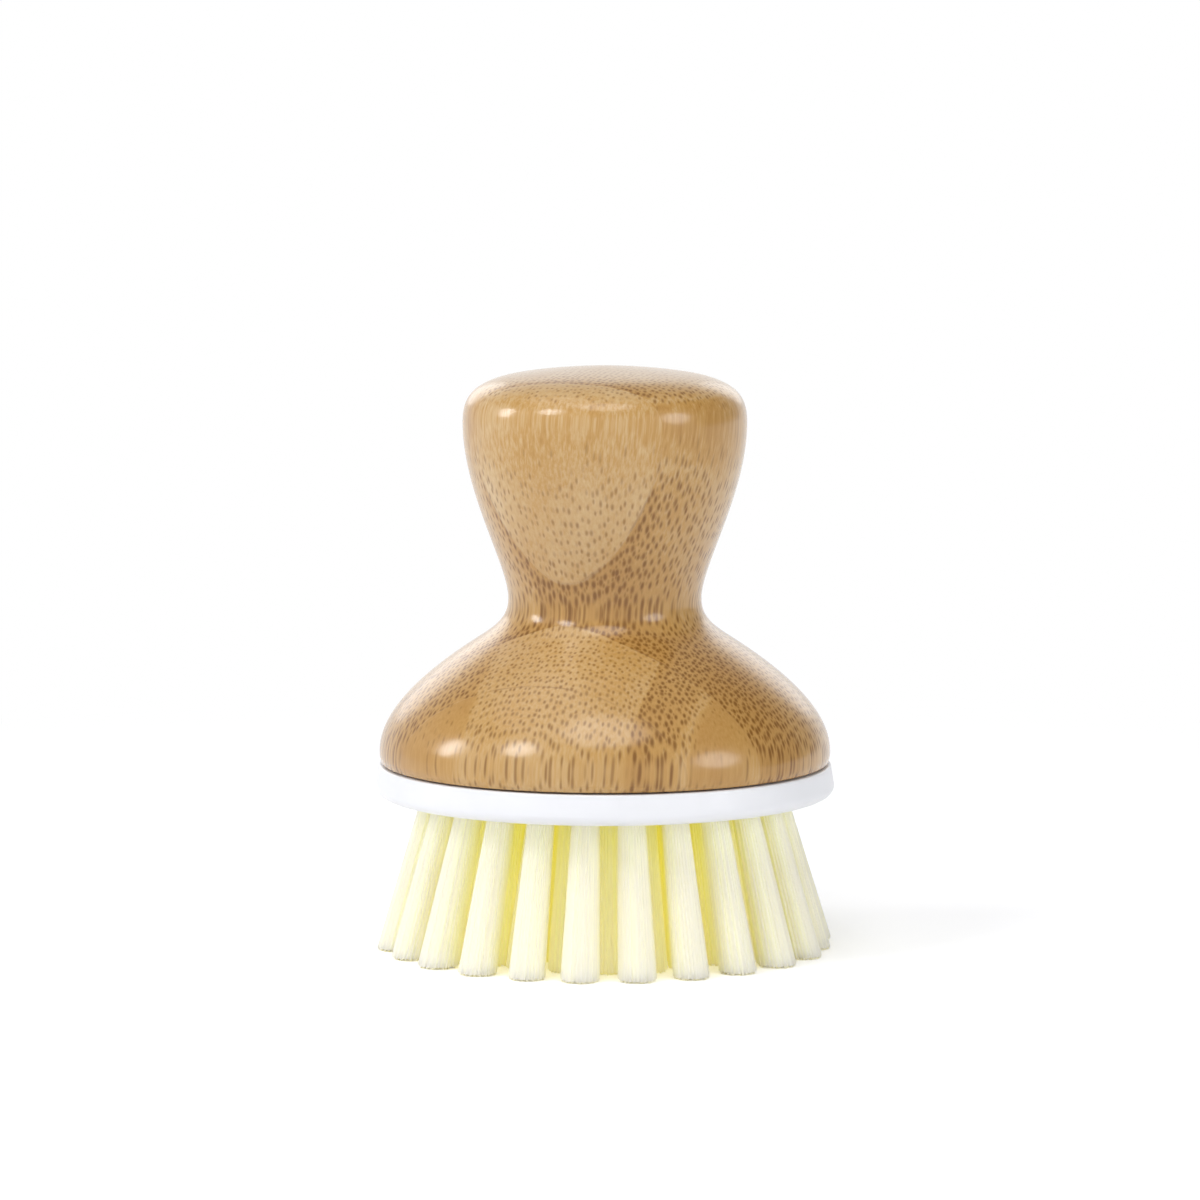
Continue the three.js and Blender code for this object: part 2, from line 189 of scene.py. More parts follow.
# %% Build nodes
def feed(tree, socket, value):
    """Links a socket, or sets it where the value is a plain number, colour or vector."""
    if isinstance(value, bpy.types.NodeSocket):
        tree.links.new(value, socket)
    else:
        socket.default_value = value


def feed_all(tree, node, **inputs):
    """Feeds a node's sockets by their names, with an underscore for each space."""
    for key, value in inputs.items():
        feed(tree, node.inputs[key.replace("_", " ")], value)


def add(tree, kind, settings=None, **inputs):
    """Adds a node. Settings are its properties, and inputs are its sockets by name."""
    node = tree.nodes.new(kind)
    for key, value in (settings or {}).items():
        setattr(node, key, value)
    feed_all(tree, node, **inputs)
    return node


def calc(tree, operation, *values, clamp=False):
    """A Math node with its numbers or sockets in order."""
    node = tree.nodes.new("ShaderNodeMath")
    node.operation = operation
    node.use_clamp = clamp
    for socket, value in zip(node.inputs, values):
        feed(tree, socket, value)
    return node.outputs[0]


def vector_calc(tree, operation, *values, scale=None):
    """A Vector Math node with its vectors in order. A dot product or a length comes back as a number."""
    node = tree.nodes.new("ShaderNodeVectorMath")
    node.operation = operation
    for socket, value in zip(node.inputs, values):
        feed(tree, socket, value)
    if scale is not None:
        feed(tree, node.inputs["Scale"], scale)
    return node.outputs["Value" if operation in ("DOT_PRODUCT", "LENGTH") else "Vector"]


def moved(tree, place, direction, length):
    """A place moved along a direction, by so many times the direction's own length."""
    return vector_calc(tree, "ADD", place, vector_calc(tree, "SCALE", direction, scale=length))


def ramp(tree, factor, stops, interpolation="LINEAR"):
    """A colour ramp from (position, colour or grey) pairs."""
    node = tree.nodes.new("ShaderNodeValToRGB")
    node.color_ramp.interpolation = interpolation
    elements = node.color_ramp.elements
    while len(elements) < len(stops):
        elements.new(0.5)
    for element, (position, colour) in zip(elements, stops):
        element.position = position
        element.color = (*colour, 1) if isinstance(colour, tuple) else (colour, colour, colour, 1)
    feed(tree, node.inputs[0], factor)
    return node.outputs[0]


def blended(tree, factor, first, second, mode="MIX"):
    """Mixes two colours, on the sockets that a Mix node keeps for colour."""
    node = tree.nodes.new("ShaderNodeMix")
    node.data_type = "RGBA"
    node.blend_type = mode
    for index, value in ((0, factor), (6, first), (7, second)):
        if isinstance(value, tuple) and len(value) == 3:
            value = (*value, 1)
        feed(tree, node.inputs[index], value)
    return node.outputs[2]


def smooth_step(tree, value, low, high):
    """0 below low, 1 above high, eased between."""
    node = tree.nodes.new("ShaderNodeMapRange")
    node.interpolation_type = "SMOOTHSTEP"
    for index, number in enumerate((value, low, high, 0, 1)):
        feed(tree, node.inputs[index], number)
    return node.outputs[0]


def noise(tree, vector, detail=2.0, roughness=0.5):
    """Soft unevenness from 0 to 1, with one wave for each unit of the vector."""
    node = add(tree, "ShaderNodeTexNoise", Vector=vector, Scale=1, Detail=detail, Roughness=roughness)
    return node.outputs[0]


def swing(tree, value, spread):
    """Turns a number from 0 to 1 into a change of half the spread either way."""
    return calc(tree, "MULTIPLY_ADD", value, spread, -spread / 2)


def new_finish(name):
    """A material with an empty Principled surface, and its tree."""
    finish = bpy.data.materials.new(name)
    finish.use_nodes = True
    tree = finish.node_tree
    return finish, tree, tree.nodes["Principled BSDF"]


def millimetres(tree, stretch=(1, 1, 1)):
    """Object coordinates in millimetres, each axis multiplied by its stretch."""
    place = add(tree, "ShaderNodeTexCoord").outputs["Object"]
    return vector_calc(tree, "MULTIPLY", place, tuple(s / MM for s in stretch))

# %% [markdown]
# ## Bamboo
# Slats of bamboo, about 28 by 11 mm, are glued into a block with all fibres upright, and the handle is
# turned from it. Fibre bundles are brown threads that run along Z, so on the dome they are cut across and
# show as dots, and on the steep knob they are cut at a slant and show as short streaks. A cell pattern that
# reads only X and Y gives both at once. A slat is dense with bundles on its bark side and nearly plain on
# the other, so three ramps over Y, one for each column of slats, hold the density. Next to the bark the
# bundles also stand closer, so a second, finer pattern joins the first there. A picture of real bamboo
# would not follow the turning so well. The wood's tone follows from the density. A clear coat gives the
# lacquer.

# %% Slats of the bamboo block
STRIP_MM = 11
STRIPS = 7
BLOCK_MM = STRIP_MM * STRIPS
LEFT_JOINT_MM = -11.2
INNER_SHIFT_MM = 6.2
RIGHT_JOINT_MM = 16.8
JOINT_BLUR_MM = 1.2
BARK_MM = 1.6
BARK_KEPT = 0.4
GLUE_JUMP = 0.0006
FRONT_SLATS_REAR_MM = -16.5
# Each slat from the front one to the rear one, at its front face, its middle and its rear face
DENSITY_LEFT = [(0.5, 0.25, 0.1), (0.9, 0.85, 0.7), (1.4, 0.38, 0.4), (0.5, 0.45, 0.4),
                (0.4, 0.5, 0.8), (0.45, 0.6, 0.9), (0.2, 0.3, 0.5)]
DENSITY_MIDDLE = [(0.5, 0.52, 0.5), (0.5, 0.46, 0.4), (1.6, 0.85, 0.6), (0.5, 0.45, 0.4),
                  (0.45, 0.6, 0.95), (0.4, 0.45, 0.5), (0.5, 0.5, 0.5)]
DENSITY_RIGHT = [(0.5, 0.5, 0.5), (0.5, 0.5, 0.5), (1.8, 1.2, 0.9), (0.8, 0.75, 0.7),
                 (0.7, 0.8, 1.0), (0.9, 0.6, 0.4), (0.5, 0.4, 0.3)]
# A slat on the right of the front lies on its side: its density over X in mm
SIDE_SLAT = [(16.8, 0.95), (22.5, 0.85), (25.5, 0.12), (31.0, 0.1), (34.5, 0.55)]


def slat_stops(slats):
    """Ramp stops that jump at each glue plane and run evenly through each slat, with a thin bark side."""
    stops = []
    for i, (front, middle, rear) in enumerate(slats):
        stops.append((i / STRIPS + GLUE_JUMP, front))
        if front > 1:
            under_bark = BARK_KEPT * front + (1 - BARK_KEPT) * middle
            stops.append(((i + BARK_MM / STRIP_MM) / STRIPS, under_bark))
        stops += [((i + 0.5) / STRIPS, middle), ((i + 1) / STRIPS - GLUE_JUMP, rear)]
    return stops


def slat_density(tree, x, y):
    """How dense the bundles of a slat are, from 0 to 1."""
    y_share = calc(tree, "MULTIPLY_ADD", y, 1 / BLOCK_MM, 0.5)
    value = ramp(tree, y_share, slat_stops(DENSITY_LEFT))
    behind = calc(tree, "GREATER_THAN", y, FRONT_SLATS_REAR_MM)
    joints = ((LEFT_JOINT_MM, INNER_SHIFT_MM, DENSITY_MIDDLE), (RIGHT_JOINT_MM, 0, DENSITY_RIGHT))
    for joint, shift, slats in joints:
        past = calc(tree, "SUBTRACT", x, calc(tree, "MULTIPLY_ADD", behind, shift, joint))
        beyond = smooth_step(tree, past, -JOINT_BLUR_MM, JOINT_BLUR_MM)
        value = blended(tree, beyond, value, ramp(tree, y_share, slat_stops(slats)))
    half = BLOCK_MM / 2
    x_share = calc(tree, "MULTIPLY", x, 1 / half)
    side = ramp(tree, x_share, [(place / half, density) for place, density in SIDE_SLAT])
    in_side = calc(tree, "MULTIPLY", calc(tree, "LESS_THAN", y, FRONT_SLATS_REAR_MM),
                   smooth_step(tree, x, RIGHT_JOINT_MM - JOINT_BLUR_MM, RIGHT_JOINT_MM))
    return blended(tree, in_side, value, side)


print("bamboo block:", STRIPS, "slats of", STRIP_MM, "mm")

# %% Fibre bundles
BUNDLE_SPACING_MM = 0.96
BARK_SPACING_MM = 0.75
BARK_DENSITY = 0.62
BUNDLE_RADIUS = 0.49
BUNDLE_CORE = 0.15
BUNDLE_DISORDER = 0.6
# A bundle's size, its chance of standing in a cell and its darkness grow with the density
SIZE_LEAST, SIZE_SPREAD, SIZE_BY_DENSITY = 0.5, 0.25, 0.45
DARK_LEAST, DARK_SPREAD, DARK_BY_DENSITY = 0.22, 0.25, 0.7
CHANCE_BY_DENSITY = 3.2
CHANCE_NONE, CHANCE_FULL = -0.1, 0.3
FIBRE_LEAN = -0.16
KNOB_FROM_MM = 58
KNOB_TO_MM = 70
RIM_FROM_MM = 73
RIM_TO_MM = 87
CROWN_FROM_MM = 90
CROWN_TO_MM = 92.5
KNOB_THINNING = 0.3
RIM_THINNING = 0.85


def rim_share(tree, z):
    """1 on the steep rim of the knob, 0 below it and on the crown."""
    below = smooth_step(tree, z, RIM_FROM_MM, RIM_TO_MM)
    return calc(tree, "MULTIPLY", below, smooth_step(tree, z, CROWN_TO_MM, CROWN_FROM_MM))


def height_fade(tree, z):
    """The knob's slats show fewer bundles than the dome's, and its rim the fewest."""
    knob = smooth_step(tree, z, KNOB_FROM_MM, KNOB_TO_MM)
    kept = calc(tree, "MULTIPLY_ADD", knob, -KNOB_THINNING, 1)
    return calc(tree, "MULTIPLY", kept, calc(tree, "MULTIPLY_ADD", rim_share(tree, z), -RIM_THINNING, 1))


def bundles(tree, fibre, density, spacing):
    """How dark a fibre bundle is at a place: one soft dot in each cell of a pattern over X and Y."""
    spot = vector_calc(tree, "SCALE", fibre, scale=1 / spacing)
    settings = {"voronoi_dimensions": "2D"}
    cells = add(tree, "ShaderNodeTexVoronoi", settings, Vector=spot, Scale=1, Randomness=BUNDLE_DISORDER)
    luck = add(tree, "ShaderNodeSeparateColor", Color=cells.outputs["Color"]).outputs
    size = calc(tree, "MULTIPLY_ADD", luck[1], SIZE_SPREAD, SIZE_LEAST)
    size = calc(tree, "MULTIPLY_ADD", density, SIZE_BY_DENSITY, size)
    radius = calc(tree, "MULTIPLY", size, BUNDLE_RADIUS)
    core = calc(tree, "MULTIPLY", radius, BUNDLE_CORE)
    dot = smooth_step(tree, cells.outputs["Distance"], radius, core)
    room = calc(tree, "SUBTRACT", calc(tree, "MULTIPLY", density, CHANCE_BY_DENSITY), luck[0])
    present = smooth_step(tree, room, CHANCE_NONE, CHANCE_FULL)
    darkness = calc(tree, "MULTIPLY_ADD", luck[2], DARK_SPREAD, DARK_LEAST)
    darkness = calc(tree, "MULTIPLY_ADD", density, DARK_BY_DENSITY, darkness)
    return calc(tree, "MULTIPLY", calc(tree, "MULTIPLY", dot, present), darkness, clamp=True)

# %% Bamboo finish
DEEP_BAMBOO = (0.36, 0.165, 0.030)
MID_BAMBOO = (0.50, 0.285, 0.085)
PALE_BAMBOO = (0.64, 0.46, 0.25)
BUNDLE_BROWN = (0.215, 0.09, 0.013)
GLUE_BROWN = (0.22, 0.10, 0.03)
KNOB_PALER = 0.04
FRONT_PALER = 0.17
WOOD_ROUGHNESS = 0.38
BUNDLE_ROUGHER = 0.15
WOOD_SPECULAR = 0.1
LACQUER_ROUGHNESS = 0.185
LACQUER_IOR = 1.5
RELIEF_STRENGTH = 0.12
RELIEF_MM = 0.06
# Density of bundles and the tone of the wood between them
TONE_BY_DENSITY = [(0.0, 0.34), (0.2, 0.42), (0.45, 0.60), (0.7, 0.52), (1.0, 0.38)]
# Waves for each mm along X, Y and Z, from the slow drift of the fibres to the fine streaks
DRIFT_GRAIN = (0.06, 0.06, 0.025)
CLOUD_GRAIN = (0.09, 0.09, 0.03)
PATCH_GRAIN = (0.12, 0.12, 0.03)
STREAK_GRAIN = (2.2, 2.2, 0.05)
DRIFT_MM = 2.4
PATCH_SWING = 0.3
CLOUD_SWING = 0.3
STREAK_GAIN = 0.5
RIM_STREAK_GAIN = 0.6
GLUE_WAVE_GRAIN = (0.2, 0, 0.1)
GLUE_PATCH_GRAIN = (0.15, 0.15, 0.15)
GLUE_WAVE_MM = 0.3
GLUE_EDGE_MM, GLUE_CORE_MM = 0.22, 0.03
GLUE_BROKEN, GLUE_WHOLE = 0.4, 0.65
GLUE_LEAST, GLUE_MORE = 0.08, 0.4


def glue_lines(tree, y, z):
    """Thin glue lines between the slats, faint, broken in places and lost in the knob's rim."""
    wave = swing(tree, noise(tree, millimetres(tree, GLUE_WAVE_GRAIN)), GLUE_WAVE_MM)
    shifted = calc(tree, "ADD", y, calc(tree, "ADD", wave, BLOCK_MM / 2))
    into_slat = calc(tree, "PINGPONG", shifted, STRIP_MM)
    to_plane = calc(tree, "MINIMUM", into_slat, calc(tree, "SUBTRACT", STRIP_MM, into_slat))
    line = smooth_step(tree, to_plane, GLUE_EDGE_MM, GLUE_CORE_MM)
    patchy = smooth_step(tree, noise(tree, millimetres(tree, GLUE_PATCH_GRAIN)), GLUE_BROKEN, GLUE_WHOLE)
    faint = calc(tree, "MULTIPLY_ADD", patchy, GLUE_MORE, GLUE_LEAST)
    faint = calc(tree, "MULTIPLY", faint, smooth_step(tree, z, RIM_TO_MM, RIM_FROM_MM))
    return calc(tree, "MULTIPLY", line, faint)


def drifted(tree, place, z):
    """Places followed along fibres that lean a little and drift from side to side."""
    drift = add(tree, "ShaderNodeTexNoise", Vector=millimetres(tree, DRIFT_GRAIN), Scale=1, Detail=2)
    sway = vector_calc(tree, "SUBTRACT", drift.outputs["Color"], (0.5, 0.5, 0.5))
    lean = add(tree, "ShaderNodeCombineXYZ", Y=calc(tree, "MULTIPLY", z, FIBRE_LEAN)).outputs[0]
    return vector_calc(tree, "ADD", moved(tree, place, sway, DRIFT_MM), lean)


def wood_tone(tree, density, streaks, y, z):
    """How pale the wood is between its bundles: paler on the knob, cloudy, and streaked on the rim."""
    tone = ramp(tree, density, TONE_BY_DENSITY)
    in_front = calc(tree, "LESS_THAN", y, FRONT_SLATS_REAR_MM)
    paler = calc(tree, "MULTIPLY_ADD", in_front, FRONT_PALER, KNOB_PALER)
    tone = calc(tree, "MULTIPLY_ADD", smooth_step(tree, z, KNOB_FROM_MM, KNOB_TO_MM), paler, tone)
    clouds = noise(tree, millimetres(tree, CLOUD_GRAIN))
    tone = calc(tree, "ADD", tone, swing(tree, clouds, CLOUD_SWING))
    gain = calc(tree, "MULTIPLY_ADD", rim_share(tree, z), RIM_STREAK_GAIN, STREAK_GAIN)
    return calc(tree, "MULTIPLY_ADD", calc(tree, "SUBTRACT", streaks, 0.5), gain, tone)


def bamboo_finish():
    finish, tree, surface = new_finish("lacquered_bamboo")
    place = millimetres(tree)
    parts = add(tree, "ShaderNodeSeparateXYZ", Vector=place).outputs
    x, y, z = parts["X"], parts["Y"], parts["Z"]
    fibre = drifted(tree, place, z)
    patches = noise(tree, millimetres(tree, PATCH_GRAIN))
    density = calc(tree, "MULTIPLY", slat_density(tree, x, y), height_fade(tree, z))
    density = calc(tree, "ADD", density, swing(tree, patches, PATCH_SWING), clamp=True)
    streaks = noise(tree, vector_calc(tree, "MULTIPLY", fibre, STREAK_GRAIN), detail=4, roughness=0.6)
    tone = wood_tone(tree, density, streaks, y, z)
    colour = ramp(tree, tone, [(0.1, DEEP_BAMBOO), (0.5, MID_BAMBOO), (0.9, PALE_BAMBOO)])
    mask = bundles(tree, fibre, density, BUNDLE_SPACING_MM)
    bark = calc(tree, "SUBTRACT", density, BARK_DENSITY, clamp=True)
    mask = calc(tree, "MAXIMUM", mask, bundles(tree, fibre, bark, BARK_SPACING_MM))
    colour = blended(tree, mask, colour, BUNDLE_BROWN)
    colour = blended(tree, glue_lines(tree, y, z), colour, GLUE_BROWN)
    rough = calc(tree, "MULTIPLY_ADD", mask, BUNDLE_ROUGHER, WOOD_ROUGHNESS)
    relief = calc(tree, "SUBTRACT", streaks, mask)
    bump = add(tree, "ShaderNodeBump", Height=relief, Strength=RELIEF_STRENGTH, Distance=RELIEF_MM * MM)
    feed_all(tree, surface, Base_Color=colour, Roughness=rough, Specular_IOR_Level=WOOD_SPECULAR,
             Coat_Weight=1.0, Coat_Roughness=LACQUER_ROUGHNESS, Coat_IOR=LACQUER_IOR,
             Normal=bump.outputs[0])
    return finish


bamboo = bamboo_finish()
print("bamboo nodes:", len(bamboo.node_tree.nodes))

# %% [markdown]
# ## Turned handle
# The glued block becomes one turning, so here the nine strips are one smooth skin: a domed base, a hollow
# neck, a flared grip and a crowned top. The curves use the same heights and radii as the solids, with
# many more steps. Underneath is the stepped recess for the washer and the socket.

# %% Turn the handle
FIT_GAP = 0.3
strip_low, strip_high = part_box("lamination_middle")
washer_low, washer_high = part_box("sealing_washer")
socket_low, socket_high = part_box("handle_socket")
SEAT_Z = strip_low.z / MM
TOP_Z = strip_high.z / MM
DOME_RADIUS = strip_high.x / MM
WASHER_RADIUS = washer_high.x / MM
SOCKET_MOUTH_Z = socket_low.z / MM
SOCKET_TOP_Z = socket_high.z / MM
FLANGE_RADIUS = socket_high.x / MM
FLANGE_THICKNESS = 1.2
FLANGE_WIDTH = 3
SOCKET_RADIUS = FLANGE_RADIUS - FLANGE_WIDTH
EDGE_HEIGHT = 1.9
EDGE_INSET = 0.3
DOME_HEIGHT = 18.5
DOME_TOP_RADIUS = 20.6
HOLLOW_HEIGHT = 6.5
NECK_RADIUS = 15.8
GRIP_HEIGHT = 28.8
KNOB_RADIUS = 23.2
CROWN_RADIUS = 17
CROWN_HEIGHT = 1.8
HOLLOW_SLOPE = 0.64
CROWN_SLOPE = 0.29
# The rounding under the dome's edge, in mm from the seat
SEAT_ROUND = 0.4
SEAT_SLANT = 0.12
SEAT_RISE = 0.5
EDGE_PULL_FROM, EDGE_PULL_TO = 1.0, 1.2
# How far each curve is pulled from its ends, as a share of its height (pull) or of its width (run)
DOME_PULL, DOME_RUN = 0.37, 0.47
HOLLOW_RUN, NECK_PULL = 0.7, 0.43
GRIP_PULL, KNOB_PULL = 0.19, 0.4
SHOULDER_PULL, SHOULDER_RUN = 0.52, 0.78
CROWN_RUN = 0.22
HANDLE_SEGMENTS = 192


def handle_profile():
    widest_z = SEAT_Z + EDGE_HEIGHT
    dome_top_z = widest_z + DOME_HEIGHT
    neck_z = dome_top_z + HOLLOW_HEIGHT
    knob_z = neck_z + GRIP_HEIGHT
    crown_z = TOP_Z - CROWN_HEIGHT
    shoulder_height = crown_z - knob_z
    dome_run = DOME_RUN * (DOME_RADIUS - DOME_TOP_RADIUS)
    hollow_run = HOLLOW_RUN * (DOME_TOP_RADIUS - NECK_RADIUS)
    shoulder_run = SHOULDER_RUN * (KNOB_RADIUS - CROWN_RADIUS)
    crown_run = CROWN_RUN * CROWN_RADIUS
    bore = SOCKET_RADIUS + FIT_GAP
    flange_bore = FLANGE_RADIUS + FIT_GAP
    washer_bore = WASHER_RADIUS + FIT_GAP
    flange_top_z = SOCKET_MOUTH_Z + FLANGE_THICKNESS + FIT_GAP
    points = [
        (0, SOCKET_TOP_Z + FIT_GAP), (bore, SOCKET_TOP_Z + FIT_GAP), (bore, flange_top_z),
        (flange_bore, flange_top_z), (flange_bore, SOCKET_MOUTH_Z), (washer_bore, SOCKET_MOUTH_Z),
        (washer_bore, SEAT_Z),
    ]
    seat = (DOME_RADIUS - EDGE_INSET, SEAT_Z)
    widest = (DOME_RADIUS, widest_z)
    dome_top = (DOME_TOP_RADIUS, dome_top_z)
    neck = (NECK_RADIUS, neck_z)
    knob = (KNOB_RADIUS, knob_z)
    crown = (CROWN_RADIUS, crown_z)
    points += level_run(points[-1], (seat[0] - SEAT_ROUND, SEAT_Z), step=2)
    points += curve(points[-1], seat, seat, (seat[0] + SEAT_SLANT, SEAT_Z + SEAT_RISE), steps=4)
    points += curve(points[-1], (DOME_RADIUS, SEAT_Z + EDGE_PULL_FROM),
                    (DOME_RADIUS, SEAT_Z + EDGE_PULL_TO), widest, steps=4)
    points += curve(widest, (DOME_RADIUS, widest_z + DOME_PULL * DOME_HEIGHT),
                    (DOME_TOP_RADIUS + dome_run, dome_top_z - HOLLOW_SLOPE * dome_run), dome_top, steps=40)
    points += curve(dome_top, (DOME_TOP_RADIUS - hollow_run, dome_top_z + HOLLOW_SLOPE * hollow_run),
                    (NECK_RADIUS, neck_z - NECK_PULL * HOLLOW_HEIGHT), neck, steps=20)
    points += curve(neck, (NECK_RADIUS, neck_z + GRIP_PULL * GRIP_HEIGHT),
                    (KNOB_RADIUS, knob_z - KNOB_PULL * GRIP_HEIGHT), knob, steps=40)
    points += curve(knob, (KNOB_RADIUS, knob_z + SHOULDER_PULL * shoulder_height),
                    (CROWN_RADIUS + shoulder_run, crown_z - CROWN_SLOPE * shoulder_run), crown, steps=24)
    points += curve(crown, (CROWN_RADIUS - crown_run, crown_z + CROWN_SLOPE * crown_run),
                    (crown_run, TOP_Z), (0, TOP_Z), steps=16)
    return points


handle = turned("bamboo_handle", handle_profile(), HANDLE_SEGMENTS)
handle.data.materials.append(bamboo)
strips = [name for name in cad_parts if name.startswith("lamination_")]
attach(handle, "handle")
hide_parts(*strips)
report(handle)

# %% [markdown]
# ## Moulded plastics
# The plate is bright white and slightly glossy, with the very fine unevenness of a moulding. The socket
# is a duller off-white nylon, and the washer a soft grey rubber. They and the wire of the anchors share
# one recipe: a base colour with a faint cloud, a roughness that varies a little, and a fine bump.

# %% Plastic, rubber and metal finishes
MOULD_CLOUD_GRAIN = (0.15, 0.15, 0.15)
MOULD_SHADE = 0.94
ROUGHNESS_SWING = 0.16
MOULD_BUMP_MM = 0.05


def moulded_finish(name, colour, roughness, grain_mm, grain_strength, metallic=0.0):
    finish, tree, surface = new_finish(name)
    cloud = noise(tree, millimetres(tree, MOULD_CLOUD_GRAIN))
    darker = tuple(MOULD_SHADE * c for c in colour)
    grain = noise(tree, millimetres(tree, (1 / grain_mm,) * 3), detail=3)
    uneven = calc(tree, "MULTIPLY_ADD", grain, ROUGHNESS_SWING, roughness - ROUGHNESS_SWING / 2)
    bump = add(tree, "ShaderNodeBump", Height=grain, Strength=grain_strength, Distance=MOULD_BUMP_MM * MM)
    feed_all(tree, surface, Base_Color=blended(tree, cloud, darker, colour), Roughness=uneven,
             Normal=bump.outputs[0], Metallic=metallic)
    return finish


white_plastic = moulded_finish("white_moulded_plastic", (0.855, 0.865, 0.90), roughness=0.32,
                               grain_mm=0.5, grain_strength=0.10)
socket_nylon = moulded_finish("socket_nylon", (0.74, 0.72, 0.66), roughness=0.48,
                              grain_mm=0.4, grain_strength=0.2)
seal_rubber = moulded_finish("seal_rubber", (0.36, 0.35, 0.33), roughness=0.7,
                             grain_mm=0.25, grain_strength=0.35)
anchor_wire = moulded_finish("anchor_wire", (0.62, 0.62, 0.60), roughness=0.34,
                             grain_mm=0.15, grain_strength=0.2, metallic=1.0)
for finish in (white_plastic, socket_nylon, seal_rubber, anchor_wire):
    print(finish.name, "has", len(finish.node_tree.nodes), "nodes")

# %% [markdown]
# ## Screw thread
# The post on the plate and the socket in the handle share one helix. Each is a sweep whose radius is
# raised or lowered where the trapezoid of the thread passes, so the thread grows out of the wall with no
# joint.

# %% Helix shared by post and socket
plate_low, plate_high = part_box("brush_plate")
PLATE_BOTTOM_Z = plate_low.z / MM
POST_TOP_Z = plate_high.z / MM
PLATE_RADIUS = plate_high.x / MM
POST_HEIGHT = 10
PLATE_TOP_Z = POST_TOP_Z - POST_HEIGHT
POST_RADIUS = 8.6
POST_WALL = 2.2
POST_BEVEL = 0.6
THREAD_PITCH = 4
THREAD_DEPTH = 1.2
THREAD_ROOT_WIDTH = 2
THREAD_CREST_WIDTH = 1
THREAD_MARGIN = 1
THREAD_GAP = 0.4
THREAD_START_Z = PLATE_TOP_Z + THREAD_MARGIN + THREAD_ROOT_WIDTH / 2
THREAD_TURNS = (POST_HEIGHT - 2 * THREAD_MARGIN - THREAD_ROOT_WIDTH) / THREAD_PITCH
POST_FADE_TURNS = 1 / 12


def thread_share(angle, z, play, first_turn, last_turn, fade_turns):
    """How much of the thread's depth stands at an angle and height, from 0 to 1."""
    turn = angle / (2 * math.pi)
    turn += round((z - THREAD_START_Z) / THREAD_PITCH - turn)
    from_middle = abs(z - THREAD_START_Z - turn * THREAD_PITCH)
    slope = (THREAD_ROOT_WIDTH - THREAD_CREST_WIDTH) / 2
    share = (THREAD_ROOT_WIDTH / 2 + play - from_middle) / slope
    fade = min(turn - first_turn, last_turn - turn) / fade_turns
    return max(0, min(1, share, fade))


print("thread turns:", THREAD_TURNS)

# %% [markdown]
# ## Brush plate
# The rim widens a little towards its rounded lower edge, because a moulding needs draft. Each tuft sits
# in its own blind hole, cut here with a Boolean, and so is the slot for the ring of wire that holds the
# close-set middle row. The hollow threaded post stands in the middle of the top.

# %% Mould the plate
PLATE_DRAFT = 0.5
RIM_ROUND = 1.6
RIM_BEVEL = 0.4
RIM_SLANT_DEGREES = 8
TUFT_INSET = 10.1
ROW_SPACING = 6.6
OUTER_ROW = PLATE_RADIUS - TUFT_INSET
# Every second row is turned by half a step, and depth says how far a row lies inside the brush and how much
# painted yellow shade and painted glow its nylon gets
ROWS = {
    "outer": {"tufts": 24, "radius": OUTER_ROW, "stagger": 0.0, "depth": 0.0},
    "middle": {"tufts": 24, "radius": OUTER_ROW - ROW_SPACING, "stagger": 0.5, "depth": 0.7},
    "inner": {"tufts": 12, "radius": OUTER_ROW - 2 * ROW_SPACING, "stagger": 0.0, "depth": 1.0},
    "centre": {"tufts": 6, "radius": OUTER_ROW - 3 * ROW_SPACING, "stagger": 0.5, "depth": 1.0},
}
TUFT_HOLE_RADIUS = 2.3
TUFT_HOLE_DEPTH = 3.7
HOLE_SEGMENTS = 28
WIRE_THICKNESS = 0.5
SLOT_MARGIN = 1
PLATE_SEGMENTS = 192


def plate_profile():
    rim_top = PLATE_RADIUS - PLATE_DRAFT
    bore = POST_RADIUS - POST_WALL
    points = [(0, PLATE_BOTTOM_Z)]
    points += arc((PLATE_RADIUS - RIM_ROUND, PLATE_BOTTOM_Z + RIM_ROUND), RIM_ROUND, -90, 0, steps=10)
    points += level_run(points[-1], (rim_top, PLATE_TOP_Z - RIM_BEVEL), step=0.8)
    bevel_middle = (rim_top - RIM_BEVEL, PLATE_TOP_Z - RIM_BEVEL)
    points += arc(bevel_middle, RIM_BEVEL, RIM_SLANT_DEGREES, 90, steps=5)
    points += [(POST_RADIUS + RIM_BEVEL, PLATE_TOP_Z)]
    points += curve(points[-1], (POST_RADIUS, PLATE_TOP_Z), (POST_RADIUS, PLATE_TOP_Z),
                    (POST_RADIUS, PLATE_TOP_Z + RIM_BEVEL), steps=4)
    wall_from = len(points)
    points += level_run(points[-1], (POST_RADIUS, POST_TOP_Z - POST_BEVEL), step=0.2)
    wall_to = len(points)
    points += [(POST_RADIUS - POST_BEVEL, POST_TOP_Z), (bore, POST_TOP_Z)]
    points += [(bore, PLATE_TOP_Z), (0, PLATE_TOP_Z)]
    return points, range(wall_from, wall_to)


